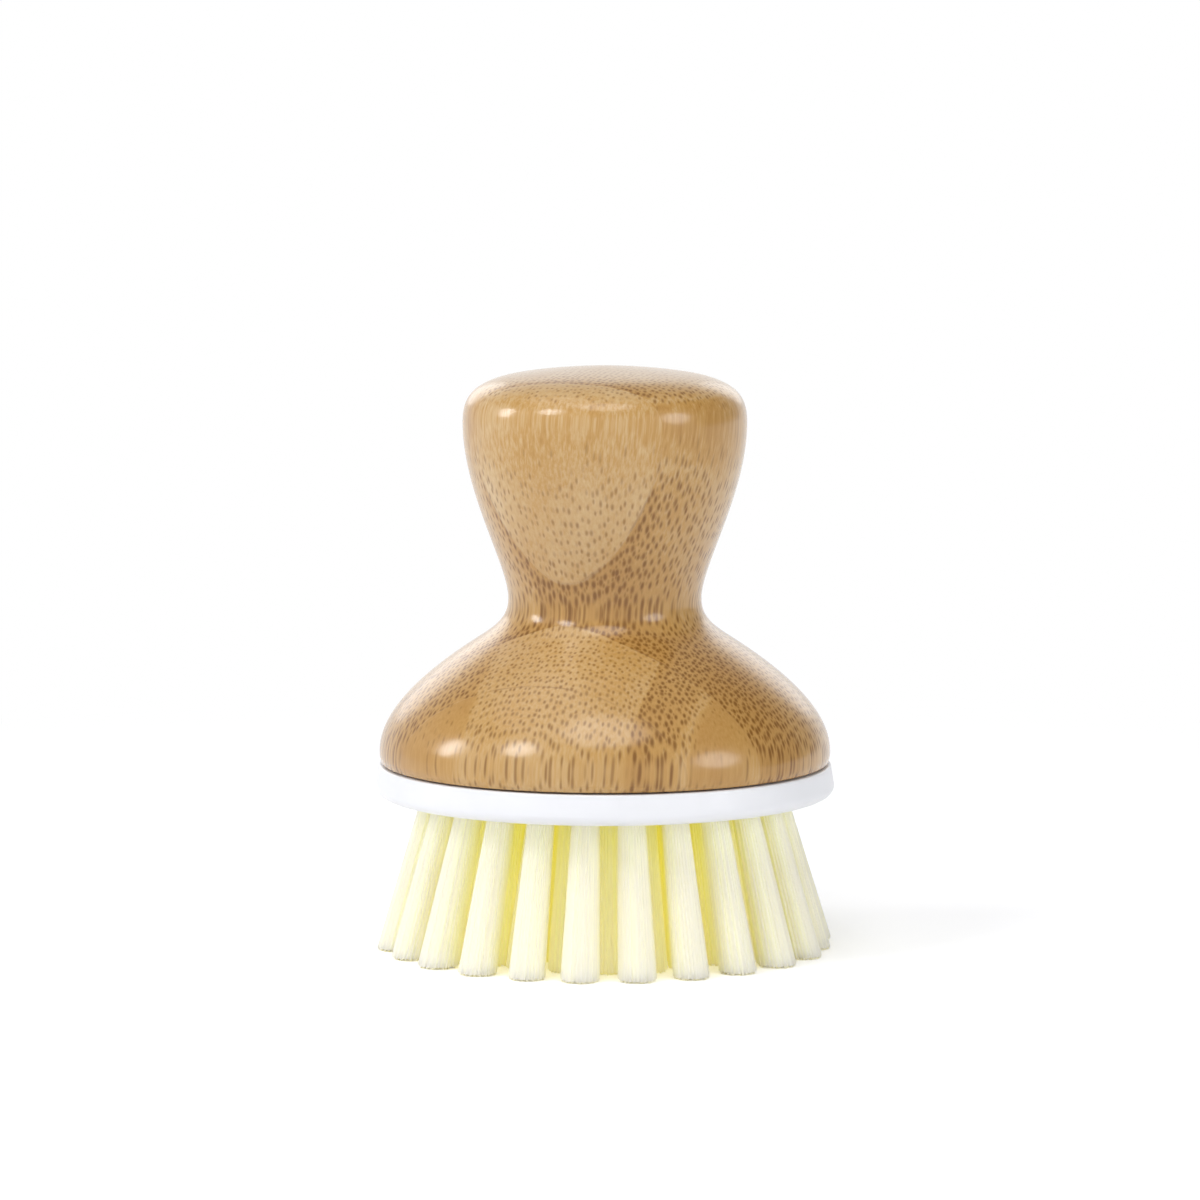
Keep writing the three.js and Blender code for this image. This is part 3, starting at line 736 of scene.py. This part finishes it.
def tuft_holes():
    """One mesh of short rods, one for each tuft."""
    cutter = bmesh.new()
    radius = TUFT_HOLE_RADIUS * MM
    for row in ROWS.values():
        for i in range(row["tufts"]):
            a = 2 * math.pi * (i + row["stagger"]) / row["tufts"]
            made = bmesh.ops.create_cone(cutter, cap_ends=True, segments=HOLE_SEGMENTS, radius1=radius,
                                         radius2=radius, depth=2 * TUFT_HOLE_DEPTH * MM)
            middle = Vector((row["radius"] * math.cos(a), row["radius"] * math.sin(a), PLATE_BOTTOM_Z)) * MM
            bmesh.ops.translate(cutter, verts=made["verts"], vec=middle)
    mesh = bpy.data.meshes.new("tuft_holes")
    cutter.to_mesh(mesh)
    cutter.free()
    return linked("tuft_holes", mesh)


def wire_slot():
    """A ring a little larger than the flat wire that holds the middle row."""
    _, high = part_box("anchor_wire_middle")
    inner = high.x / MM - WIRE_THICKNESS - FIT_GAP
    outer = high.x / MM + FIT_GAP
    low_z = PLATE_BOTTOM_Z + SLOT_MARGIN
    high_z = high.z / MM + FIT_GAP
    profile = [(inner, low_z), (outer, low_z), (outer, high_z), (inner, high_z), (inner, low_z)]
    return turned("wire_slot", profile, PLATE_SEGMENTS)


def cut_by(obj, cutter):
    """Applies a Boolean difference and removes the cutter."""
    cut = obj.modifiers.new("cut", "BOOLEAN")
    cut.object = cutter
    cut.solver = "EXACT"
    graph = bpy.context.evaluated_depsgraph_get()
    mesh = bpy.data.meshes.new_from_object(obj.evaluated_get(graph))
    obj.modifiers.clear()
    bpy.data.objects.remove(cutter)
    obj.data = smoothed(mesh)


plate_points, thread_wall = plate_profile()


def post_thread(index, angle, z):
    if index not in thread_wall:
        return 0
    share = thread_share(angle, z, play=0, first_turn=0, last_turn=THREAD_TURNS, fade_turns=POST_FADE_TURNS)
    return THREAD_DEPTH * share


plate = turned("white_brush_plate", plate_points, PLATE_SEGMENTS, post_thread)
cut_by(plate, tuft_holes())
cut_by(plate, wire_slot())
plate.data.materials.append(white_plastic)
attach(plate, "brush_head")
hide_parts("brush_plate")
report(plate)

# %% [markdown]
# ## Bristles
# A tuft is a bundle of fine nylon filaments, folded once and driven into its hole. It leaves the plate as
# a tight round bunch and fans out to its flat-trimmed end. Filaments that lie against each other show only
# their outer sides, so a tuft's body is one closed shape with a rib for each outer filament, and light can
# soak through it as it does through real nylon. Loose ends stand out of its trimmed face. Hair curves would
# be quicker to comb but have no solid to export. Geometry Nodes make both instead: a point's number says
# which tuft it belongs to and where in the bunch it stands, and each rod is drawn out from its root to its
# tip. The finish is cream where a tuft faces outwards, with painted yellow shade on its inward faces, in
# the inner rows and by the plate, and a faint painted glow in the inner rows stands in for the light that
# clear filaments guide along their length.

# %% Nylon finish
# Nylon's cream, and the painted side shade and painted yellow shade for inward faces and inner rows
NYLON_PALE = (0.86, 0.825, 0.685)
NYLON_SIDE_SHADE = (0.985, 0.955, 0.68)
NYLON_PAINTED_SHADE = (0.995, 0.972, 0.46)
NYLON_REACH = (1.0, 1.0, 0.9)
NYLON_SCALE_MM = 4
NYLON_ROUGHNESS, STRAND_ROUGHER = 0.3, 0.2
STRAND_GRAIN = (1.5, 1.5, 0.2)
# Strength of the painted glow in the inner rows, standing in for light that clear filaments guide into the
# gaps
PAINTED_GLOW = 0.064
# The share of the pale colour at a tuft's side, how much paler it is painted facing outwards, and the
# painted shade by the plate
SIDE_SHARE = 0.66
PAINTED_FACING_LIGHT = 0.35
PLATE_PAINTED_SHADE = 0.25
STRAND_SWING = 0.3
SIDE_STOP = 0.55
# Painted yellow shade in the gaps of the inner rows, most by the plate and less at the tips, where daylight
# comes in from below
GAP_SHADE_AT_TIP = 0.38
GAP_SHADE_AT_PLATE = 0.85


def nylon_finish(name, soaking):
    """Cream where a tuft faces outwards, with painted yellow shade on its inward faces, in the inner rows
    and by the plate, and a painted glow in the inner rows. Soaking lets light through.
    """
    finish, tree, surface = new_finish(name)
    tone = add(tree, "ShaderNodeAttribute", {"attribute_name": "strand_tone"}).outputs["Fac"]
    depth = add(tree, "ShaderNodeAttribute", {"attribute_name": "row_depth"}).outputs["Fac"]
    coordinates = add(tree, "ShaderNodeTexCoord").outputs
    level = vector_calc(tree, "MULTIPLY", coordinates["Object"], (1, 1, 0))
    outward = vector_calc(tree, "NORMALIZE", level)
    facing = vector_calc(tree, "DOT_PRODUCT", coordinates["Normal"], outward)
    # Painted light and shade: paler where the surface faces outwards, yellower where it faces inwards
    share = calc(tree, "MULTIPLY_ADD", facing, PAINTED_FACING_LIGHT, SIDE_SHARE)
    share = calc(tree, "ADD", share, swing(tree, tone, STRAND_SWING))
    height = add(tree, "ShaderNodeSeparateXYZ", Vector=millimetres(tree)).outputs["Z"]
    from_tip = smooth_step(tree, height, 0, PLATE_BOTTOM_Z)
    # Painted yellow shade in the inner rows, more by the plate than at the tips
    gap_shade = calc(tree, "MULTIPLY_ADD", from_tip, GAP_SHADE_AT_PLATE - GAP_SHADE_AT_TIP, GAP_SHADE_AT_TIP)
    share = calc(tree, "SUBTRACT", share, calc(tree, "MULTIPLY", depth, gap_shade))
    # Painted shade by the plate
    plate_shade = smooth_step(tree, height, PLATE_BOTTOM_Z / 2, PLATE_BOTTOM_Z)
    share = calc(tree, "SUBTRACT", share, calc(tree, "MULTIPLY", plate_shade, PLATE_PAINTED_SHADE), clamp=True)
    colour = ramp(tree, share, [(0.0, NYLON_PAINTED_SHADE), (SIDE_STOP, NYLON_SIDE_SHADE), (1.0, NYLON_PALE)])
    streak = noise(tree, millimetres(tree, STRAND_GRAIN))
    rough = calc(tree, "MULTIPLY_ADD", streak, STRAND_ROUGHER, NYLON_ROUGHNESS)
    # The emission is the painted glow of the inner rows
    feed_all(tree, surface, Base_Color=colour, Roughness=rough, Subsurface_Weight=soaking,
             Subsurface_Radius=NYLON_REACH, Subsurface_Scale=NYLON_SCALE_MM * MM, Emission_Color=colour,
             Emission_Strength=calc(tree, "MULTIPLY", depth, PAINTED_GLOW))
    return finish


tuft_nylon = nylon_finish("tuft_nylon", soaking=1.0)
end_nylon = nylon_finish("end_nylon", soaking=0.0)
print("nylon nodes:", len(tuft_nylon.node_tree.nodes))

# %% Helpers for the tuft tree
def group_input(tree, name, kind, value):
    socket = tree.interface.new_socket(name, in_out="INPUT", socket_type=kind)
    socket.default_value = value


# What is added to a row's seed for each kind of chance
SEEDS = {"ragged": 1, "tone": 2, "girth": 3, "lean": 4, "rib": 5}


def random_value(tree, given, purpose, low, high, number=None):
    """A random number, or a random vector where low is one, for each point or for each number given."""
    kind, first, out = ("FLOAT_VECTOR", 0, 0) if isinstance(low, tuple) else ("FLOAT", 2, 1)
    seed = calc(tree, "ADD", given["Seed"], SEEDS[purpose])
    node = add(tree, "FunctionNodeRandomValue", {"data_type": kind}, Seed=seed)
    feed(tree, node.inputs[first], low)
    feed(tree, node.inputs[first + 1], high)
    if number is not None:
        feed(tree, node.inputs["ID"], number)
    return node.outputs[out]


def stored(tree, geometry, name, value, kind="FLOAT_VECTOR"):
    """Writes a field into a named attribute of the points."""
    settings = {"data_type": kind, "domain": "POINT"}
    node = add(tree, "GeometryNodeStoreNamedAttribute", settings, Geometry=geometry, Name=name)
    feed(tree, node.inputs["Value"], value)
    return node.outputs[0]


def named(tree, name, kind="FLOAT_VECTOR"):
    """Reads a named attribute."""
    return add(tree, "GeometryNodeInputNamedAttribute", {"data_type": kind}, Name=name).outputs[0]


def flat_vector(tree, x, y):
    return add(tree, "ShaderNodeCombineXYZ", X=x, Y=y).outputs[0]


def upright(tree, z):
    return add(tree, "ShaderNodeCombineXYZ", Z=z).outputs[0]

# %% Points that know both ends of a rod
GOLDEN_ANGLE = math.pi * (3 - math.sqrt(5))
TUFT_SPIN = 1.7
GIRTH_LEAST, GIRTH_MOST = 0.94, 1.06
RAGGED_POWER = 3


def rod_points(tree, given, per_tuft, spread, root_size, tip_size, rise, from_share):
    """Points for one kind of rod in every tuft of a row, with the rod's ends and sizes stored."""
    count = calc(tree, "MULTIPLY", given["Tufts"], per_tuft)
    points = add(tree, "GeometryNodePoints", Count=count).outputs[0]
    index = tree.nodes.new("GeometryNodeInputIndex").outputs[0]
    tuft = calc(tree, "FLOOR", calc(tree, "DIVIDE", calc(tree, "ADD", index, 0.5), per_tuft))
    place = calc(tree, "SUBTRACT", index, calc(tree, "MULTIPLY", tuft, per_tuft))
    step = calc(tree, "DIVIDE", 2 * math.pi, given["Tufts"])
    turn = calc(tree, "MULTIPLY", calc(tree, "ADD", tuft, given["Stagger"]), step)
    outward = flat_vector(tree, calc(tree, "COSINE", turn), calc(tree, "SINE", turn))

    reach = calc(tree, "SQRT", calc(tree, "DIVIDE", calc(tree, "ADD", place, 0.5), per_tuft))
    reach = calc(tree, "MULTIPLY", reach, spread)
    spin = calc(tree, "MULTIPLY_ADD", place, GOLDEN_ANGLE, calc(tree, "MULTIPLY", tuft, TUFT_SPIN))
    offset = flat_vector(tree, calc(tree, "MULTIPLY", reach, calc(tree, "COSINE", spin)),
                         calc(tree, "MULTIPLY", reach, calc(tree, "SINE", spin)))
    girth = random_value(tree, given, "girth", GIRTH_LEAST, GIRTH_MOST, tuft)
    lean = random_value(tree, given, "lean", (-1, -1, 0), (1, 1, 0), tuft)
    ragged = calc(tree, "POWER", random_value(tree, given, "ragged", 0.0, 1.0), RAGGED_POWER)
    ragged = calc(tree, "MULTIPLY", calc(tree, "MULTIPLY", ragged, given["Ragged"]), spread)

    root = vector_calc(tree, "SCALE", outward, scale=given["Row radius"])
    root = moved(tree, root, offset, given["Root radius"])
    root = vector_calc(tree, "ADD", root, upright(tree, given["Root height"]))
    fan = calc(tree, "MULTIPLY", given["Tip radius"], girth)
    tip = vector_calc(tree, "SCALE", outward, scale=calc(tree, "ADD", given["Row radius"], given["Splay"]))
    tip = moved(tree, tip, offset, fan)
    tip = moved(tree, tip, lean, given["Lean"])
    tip = vector_calc(tree, "ADD", tip, upright(tree, calc(tree, "ADD", ragged, rise)))
    start = moved(tree, root, vector_calc(tree, "SUBTRACT", tip, root), from_share)

    points = stored(tree, points, "rod_start", start)
    points = stored(tree, points, "rod_tip", tip)
    points = stored(tree, points, "rod_start_size", root_size, "FLOAT")
    points = stored(tree, points, "rod_tip_size", calc(tree, "MULTIPLY", tip_size, girth), "FLOAT")
    points = stored(tree, points, "rod_number", index, "INT")
    return stored(tree, points, "row_depth", given["Depth"], "FLOAT")

# %% Rods drawn out from start to tip
RIBS = 30
RIB_SIDES = 4
RIB_UNEVENNESS = 0.5
RIB_NUDGE = 0.01


def drawn_rods(tree, given, points, sides, segments, ribs=0):
    """A rod on each point, drawn out from its start to its tip, with ribs round it where given."""
    rod = add(tree, "GeometryNodeMeshCylinder", Vertices=sides, Side_Segments=segments, Radius=1, Depth=1)
    strewn = add(tree, "GeometryNodeInstanceOnPoints", Points=points, Instance=rod.outputs["Mesh"])
    mesh = add(tree, "GeometryNodeRealizeInstances", Geometry=strewn.outputs[0]).outputs[0]
    unit = tree.nodes.new("GeometryNodeInputPosition").outputs[0]
    parts = add(tree, "ShaderNodeSeparateXYZ", Vector=unit).outputs
    share = calc(tree, "SUBTRACT", 0.5, parts["Z"])
    start = named(tree, "rod_start")
    spine = moved(tree, start, vector_calc(tree, "SUBTRACT", named(tree, "rod_tip"), start), share)
    start_size = named(tree, "rod_start_size", "FLOAT")
    growth = calc(tree, "SUBTRACT", named(tree, "rod_tip_size", "FLOAT"), start_size)
    size = calc(tree, "MULTIPLY_ADD", growth, share, start_size)
    number = named(tree, "rod_number", "INT")
    if ribs:
        turn = calc(tree, "MULTIPLY", calc(tree, "ARCTAN2", parts["Y"], parts["X"]), ribs / (2 * math.pi))
        turn = calc(tree, "ADD", turn, ribs + RIB_NUDGE)
        rib = calc(tree, "FLOOR", turn)
        crest = calc(tree, "SINE", calc(tree, "MULTIPLY", calc(tree, "SUBTRACT", turn, rib), math.pi))
        number = calc(tree, "MULTIPLY_ADD", number, 2 * ribs, rib)
        proud = random_value(tree, given, "rib", -1.0, 1.0, number)
        height = calc(tree, "MULTIPLY_ADD", proud, RIB_UNEVENNESS, calc(tree, "SUBTRACT", crest, 1))
        full_rib = calc(tree, "MULTIPLY", given["Rib height"], size)
        size = calc(tree, "ADD", size, calc(tree, "MULTIPLY", height, full_rib))
    tone = random_value(tree, given, "tone", 0.0, 1.0, number)
    mesh = stored(tree, mesh, "strand_tone", tone, "FLOAT")
    place = moved(tree, spine, flat_vector(tree, parts["X"], parts["Y"]), size)
    return add(tree, "GeometryNodeSetPosition", Geometry=mesh, Position=place).outputs[0]

# %% Trees that grow one row of tufts
BODY_SEGMENTS = 6
END_SIDES = 6
END_FROM = 0.94
END_SPREAD = 0.92


def tuft_tree(name, loose_ends):
    """A tree for the bodies of a row's tufts, or for the loose ends that stand out of them."""
    tree = bpy.data.node_groups.new(name, "GeometryNodeTree")
    tree.interface.new_socket("Geometry", in_out="OUTPUT", socket_type="NodeSocketGeometry")
    for key in ("Tufts", "Ends", "Seed"):
        group_input(tree, key, "NodeSocketInt", 1)
    for key in ("Row radius", "Splay", "Root radius", "Tip radius", "Root height", "Ragged", "Lean",
                "Filament radius", "Body rise", "Rib height", "Depth", "Stagger"):
        group_input(tree, key, "NodeSocketFloat", 0.0)
    tree.interface.new_socket("Finish", in_out="INPUT", socket_type="NodeSocketMaterial")
    given = tree.nodes.new("NodeGroupInput").outputs

    if loose_ends:
        size = given["Filament radius"]
        points = rod_points(tree, given, given["Ends"], END_SPREAD, size, size, rise=0, from_share=END_FROM)
        rods = drawn_rods(tree, given, points, END_SIDES, segments=1)
    else:
        sizes = (given["Root radius"], given["Tip radius"])
        points = rod_points(tree, given, 1, 0, *sizes, rise=given["Body rise"], from_share=0)
        rods = drawn_rods(tree, given, points, RIBS * RIB_SIDES, BODY_SEGMENTS, RIBS)
    done = add(tree, "GeometryNodeSetMaterial", Geometry=rods, Material=given["Finish"])
    tree.links.new(done.outputs[0], tree.nodes.new("NodeGroupOutput").inputs[0])
    return tree


body_tree = tuft_tree("tuft_bodies", loose_ends=False)
end_tree = tuft_tree("tuft_ends", loose_ends=True)
print("tuft tree nodes:", len(body_tree.nodes), len(end_tree.nodes))

# %% Grow the four rows
TUFT_SPLAY = 6.9
ENDS_PER_TUFT = 100
RIB_HEIGHT = 0.055
ROOT_IN_HOLE = 1.3
TUFT_SHARP_DEGREES = 60
FIRST_SEED, SEED_STEP = 5, 10
SHARED_SIZES = {
    "Root radius": 2.15, "Tip radius": 3.12, "Root height": PLATE_BOTTOM_Z + ROOT_IN_HOLE, "Ragged": 0.55,
    "Lean": 0.3, "Filament radius": 0.2, "Body rise": 0.4,
}


def set_input(modifier, tree, name, value):
    """Sets a tree's input on its modifier, by the socket's identifier."""
    socket = next(s for s in tree.interface.items_tree if s.name == name and s.in_out == "INPUT")
    modifier[socket.identifier] = value


def grown_row(name, row, seed, tree, finish):
    host = linked("host", bpy.data.meshes.new("host"))
    grow = host.modifiers.new("grow", "NODES")
    grow.node_group = tree
    values = {key: value * MM for key, value in SHARED_SIZES.items()}
    values |= {"Row radius": row["radius"] * MM, "Splay": TUFT_SPLAY * row["radius"] / OUTER_ROW * MM}
    values |= {"Tufts": row["tufts"], "Ends": ENDS_PER_TUFT, "Rib height": RIB_HEIGHT}
    values |= {"Stagger": row["stagger"], "Depth": row["depth"], "Seed": seed, "Finish": finish}
    for key, value in values.items():
        set_input(grow, tree, key, value)
    graph = bpy.context.evaluated_depsgraph_get()
    grown = host.evaluated_get(graph)
    mesh = bpy.data.meshes.new_from_object(grown, preserve_all_data_layers=True, depsgraph=graph)
    bpy.data.objects.remove(host)
    mesh.name = name
    return finished_object(name, mesh, TUFT_SHARP_DEGREES)


for number, (row_name, row) in enumerate(ROWS.items()):
    row_seed = SEED_STEP * number + FIRST_SEED
    bodies = grown_row(f"tufts_{row_name}", row, row_seed, body_tree, tuft_nylon)
    ends = grown_row(f"tuft_ends_{row_name}", row, row_seed, end_tree, end_nylon)
    for bristles in (bodies, ends):
        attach(bristles, "brush_head")
        report(bristles)
    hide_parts(f"bristles_{row_name}")

# %% [markdown]
# ## Washer, socket and anchors
# These show when the handle is screwed off. The washer is a flat ring with softened edges. The socket is
# a barbed cup with the thread's groove inside. The anchors are plain bits of flat wire, whose solids are
# right as they are and only take a finish.

# %% Washer
WASHER_PLAY = 1
WASHER_HOLE_RADIUS = POST_RADIUS + THREAD_DEPTH + WASHER_PLAY
WASHER_ROUND = 0.35
SOCKET_SEGMENTS = 128


def washer_profile():
    low_z = washer_low.z / MM
    high_z = washer_high.z / MM
    inner = WASHER_HOLE_RADIUS + WASHER_ROUND
    outer = WASHER_RADIUS - WASHER_ROUND
    low, high = low_z + WASHER_ROUND, high_z - WASHER_ROUND
    corners = [((inner, low), 180), ((outer, low), -90), ((outer, high), 0), ((inner, high), 90)]
    points = []
    for centre, start in corners:
        points += arc(centre, WASHER_ROUND, start, start + 90, steps=4)
    return points + points[:1]


washer = turned("soft_sealing_washer", washer_profile(), SOCKET_SEGMENTS)
washer.data.materials.append(seal_rubber)
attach(washer, "seal")
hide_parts("sealing_washer")
report(washer)

# %% Socket
SOCKET_BORE_RADIUS = POST_RADIUS + THREAD_GAP
SOCKET_END = 1.2
BARBS = 3
BARB_DEPTH = 0.5
GROOVE_FIRST_TURN = -2
GROOVE_OVERRUN = 0.12
GROOVE_FADE_TURNS = 0.02


def socket_profile():
    flange_top_z = SOCKET_MOUTH_Z + FLANGE_THICKNESS
    barb_height = (SOCKET_TOP_Z - flange_top_z) / BARBS
    points = [(SOCKET_BORE_RADIUS, SOCKET_MOUTH_Z), (FLANGE_RADIUS, SOCKET_MOUTH_Z)]
    points += [(FLANGE_RADIUS, flange_top_z)]
    for i in range(BARBS):
        bottom_z = flange_top_z + i * barb_height
        points += [(SOCKET_RADIUS, bottom_z), (SOCKET_RADIUS - BARB_DEPTH, bottom_z + barb_height)]
    ceiling_z = SOCKET_TOP_Z - SOCKET_END
    points += [(0, SOCKET_TOP_Z), (0, ceiling_z), (SOCKET_BORE_RADIUS, ceiling_z)]
    wall_from = len(points)
    points += level_run(points[-1], (SOCKET_BORE_RADIUS, SOCKET_MOUTH_Z), step=0.2)
    return points, range(wall_from, len(points))


socket_points, groove_wall = socket_profile()


def socket_groove(index, angle, z):
    if index not in groove_wall and index != 0:
        return 0
    share = thread_share(angle, z, play=THREAD_GAP, first_turn=GROOVE_FIRST_TURN,
                         last_turn=THREAD_TURNS + GROOVE_OVERRUN, fade_turns=GROOVE_FADE_TURNS)
    return THREAD_DEPTH * share


socket = turned("threaded_handle_socket", socket_points, SOCKET_SEGMENTS, socket_groove)
socket.data.materials.append(socket_nylon)
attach(socket, "handle")
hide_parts("handle_socket")
report(socket)

# %% Anchors
anchors = [obj for name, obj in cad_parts.items() if name.startswith("anchor_")]
for anchor in anchors:
    anchor.data.materials.clear()
    anchor.data.materials.append(anchor_wire)
print(len(anchors), "anchors")

# %% [markdown]
# ## Studio
# The brush stands in a white tent: everything around it is white, with soft round lamps on the left, a
# weaker one on the right, two large ones above and two faint ones behind. The lamps mirror as soft patches
# in the lacquer, and the faint ones as pale flanks. Two greyer openings in the tent keep the wood's own
# colour at the sides, where a tent that is white all round would veil it. The floor takes a faint shadow
# near the brush and fades into plain white further out.

# %% Floor
FLOOR_SIZE = 30
FLOOR_WHITE = (0.94, 0.945, 0.968, 1)
FLOOR_ROUGHNESS = 0.7
FLOOR_SPECULAR = 0.2
FLOOR_LIFT = 0.237
SHADOW_RADIUS = 0.13
FADE_RADIUS = 0.3


def looked_at(tree):
    """1 where the surroundings are looked at, also in a reflection or through something clear."""
    rays = add(tree, "ShaderNodeLightPath").outputs
    seen = calc(tree, "ADD", rays["Is Camera Ray"], rays["Is Glossy Ray"])
    return calc(tree, "ADD", seen, rays["Is Transmission Ray"], clamp=True)


def white_floor():
    mesh = bpy.data.meshes.new("floor")
    half = FLOOR_SIZE / 2
    corners = [(-half, -half, 0), (half, -half, 0), (half, half, 0), (-half, half, 0)]
    mesh.from_pydata(corners, [], [(0, 1, 2, 3)])
    floor = linked("floor", mesh)
    finish, tree, surface = new_finish("white_floor")
    place = add(tree, "ShaderNodeTexCoord").outputs["Object"]
    fade = smooth_step(tree, vector_calc(tree, "LENGTH", place), SHADOW_RADIUS, FADE_RADIUS)
    seen = looked_at(tree)
    feed_all(tree, surface, Base_Color=FLOOR_WHITE, Roughness=FLOOR_ROUGHNESS,
             Specular_IOR_Level=FLOOR_SPECULAR, Emission_Color=(1, 1, 1, 1),
             Emission_Strength=calc(tree, "MULTIPLY", seen, FLOOR_LIFT))
    glow = add(tree, "ShaderNodeEmission", Strength=1.0)
    mixed = add(tree, "ShaderNodeMixShader", Fac=calc(tree, "MULTIPLY", fade, seen))
    feed(tree, mixed.inputs[1], surface.outputs[0])
    feed(tree, mixed.inputs[2], glow.outputs[0])
    feed(tree, tree.nodes["Material Output"].inputs["Surface"], mixed.outputs[0])
    mesh.materials.append(finish)
    print("floor of", FLOOR_SIZE, "m")


white_floor()

# %% White surroundings
AMBIENT = 0.915
# Tone of the tent over the sine of the height, and its greyer openings: places and widths in degrees
TENT_TONES = [(0.0, 1.0), (0.38, 1.0), (0.6, 0.55), (0.75, 0.4), (1.0, 0.4)]
OPENINGS = [
    {"side": 110, "elevation": 22, "inner": 22, "outer": 44, "darkness": 0.75},
    {"side": -112, "elevation": 24, "inner": 16, "outer": 36, "darkness": 0.4},
]


def white_world():
    """White all round at the height of the brush, greyer overhead and in the tent's openings."""
    world = bpy.data.worlds.new("white_tent")
    world.use_nodes = True
    tree = world.node_tree
    direction = add(tree, "ShaderNodeTexCoord").outputs["Generated"]
    height = add(tree, "ShaderNodeSeparateXYZ", Vector=direction).outputs["Z"]
    strength = calc(tree, "MULTIPLY_ADD", looked_at(tree), 1 - AMBIENT, AMBIENT)
    tone = ramp(tree, height, TENT_TONES)
    for opening in OPENINGS:
        middle = raised(opening["side"], opening["elevation"])
        edges = [math.cos(math.radians(opening[edge])) for edge in ("outer", "inner")]
        inside = smooth_step(tree, vector_calc(tree, "DOT_PRODUCT", direction, middle), *edges)
        tone = calc(tree, "MULTIPLY", tone, calc(tree, "MULTIPLY_ADD", inside, -opening["darkness"], 1))
    feed_all(tree, tree.nodes["Background"], Color=tone, Strength=strength)
    bpy.context.scene.world = world
    print("tent openings:", len(OPENINGS))


white_world()

# %% Lamps
LAMP_AIM = Vector((0, 0, 50 * MM))
# Name, degrees to the right of the camera's side, degrees above the level, distance and size in m, watts
LAMPS = [
    ("left_box", -91, 23, 1.0, (0.2, 0.34), 1.8),
    ("front_left_box", -52, 39, 1.1, (0.29, 0.35), 2.3),
    ("right_box", 61, 20, 1.1, (0.46, 0.46), 2.1),
    ("top_box", 0, 64, 1.0, (0.6, 0.52), 2.3),
    ("top_left_box", -76, 68, 1.0, (0.8, 0.6), 1.0),
    ("rear_left_box", -157, 18, 1.2, (0.55, 0.5), 0.65),
    ("rear_right_box", 159, 18, 1.2, (0.5, 0.5), 0.42),
]
for name, side, elevation, distance, size, watts in LAMPS:
    lamp = bpy.data.lights.new(name, "AREA")
    lamp.shape = "ELLIPSE"
    lamp.size, lamp.size_y = size
    lamp.energy = watts
    box = linked(name, lamp)
    box.location = LAMP_AIM + raised(side, elevation) * distance
    aimed(box, LAMP_AIM)
print(len(LAMPS), "lamps")

# %% [markdown]
# ## Light between pale filaments
# Light passes many times from filament to filament before it comes out of a gap between the tufts. Few
# bounces would leave the gaps dark, so the scene allows more of them than usual.

# %% Allow more bounces
DIFFUSE_BOUNCES = 24
OTHER_BOUNCES = 8
bpy.context.scene.cycles.diffuse_bounces = DIFFUSE_BOUNCES
bpy.context.scene.cycles.max_bounces = DIFFUSE_BOUNCES + OTHER_BOUNCES
print("light bounces:", bpy.context.scene.cycles.max_bounces)
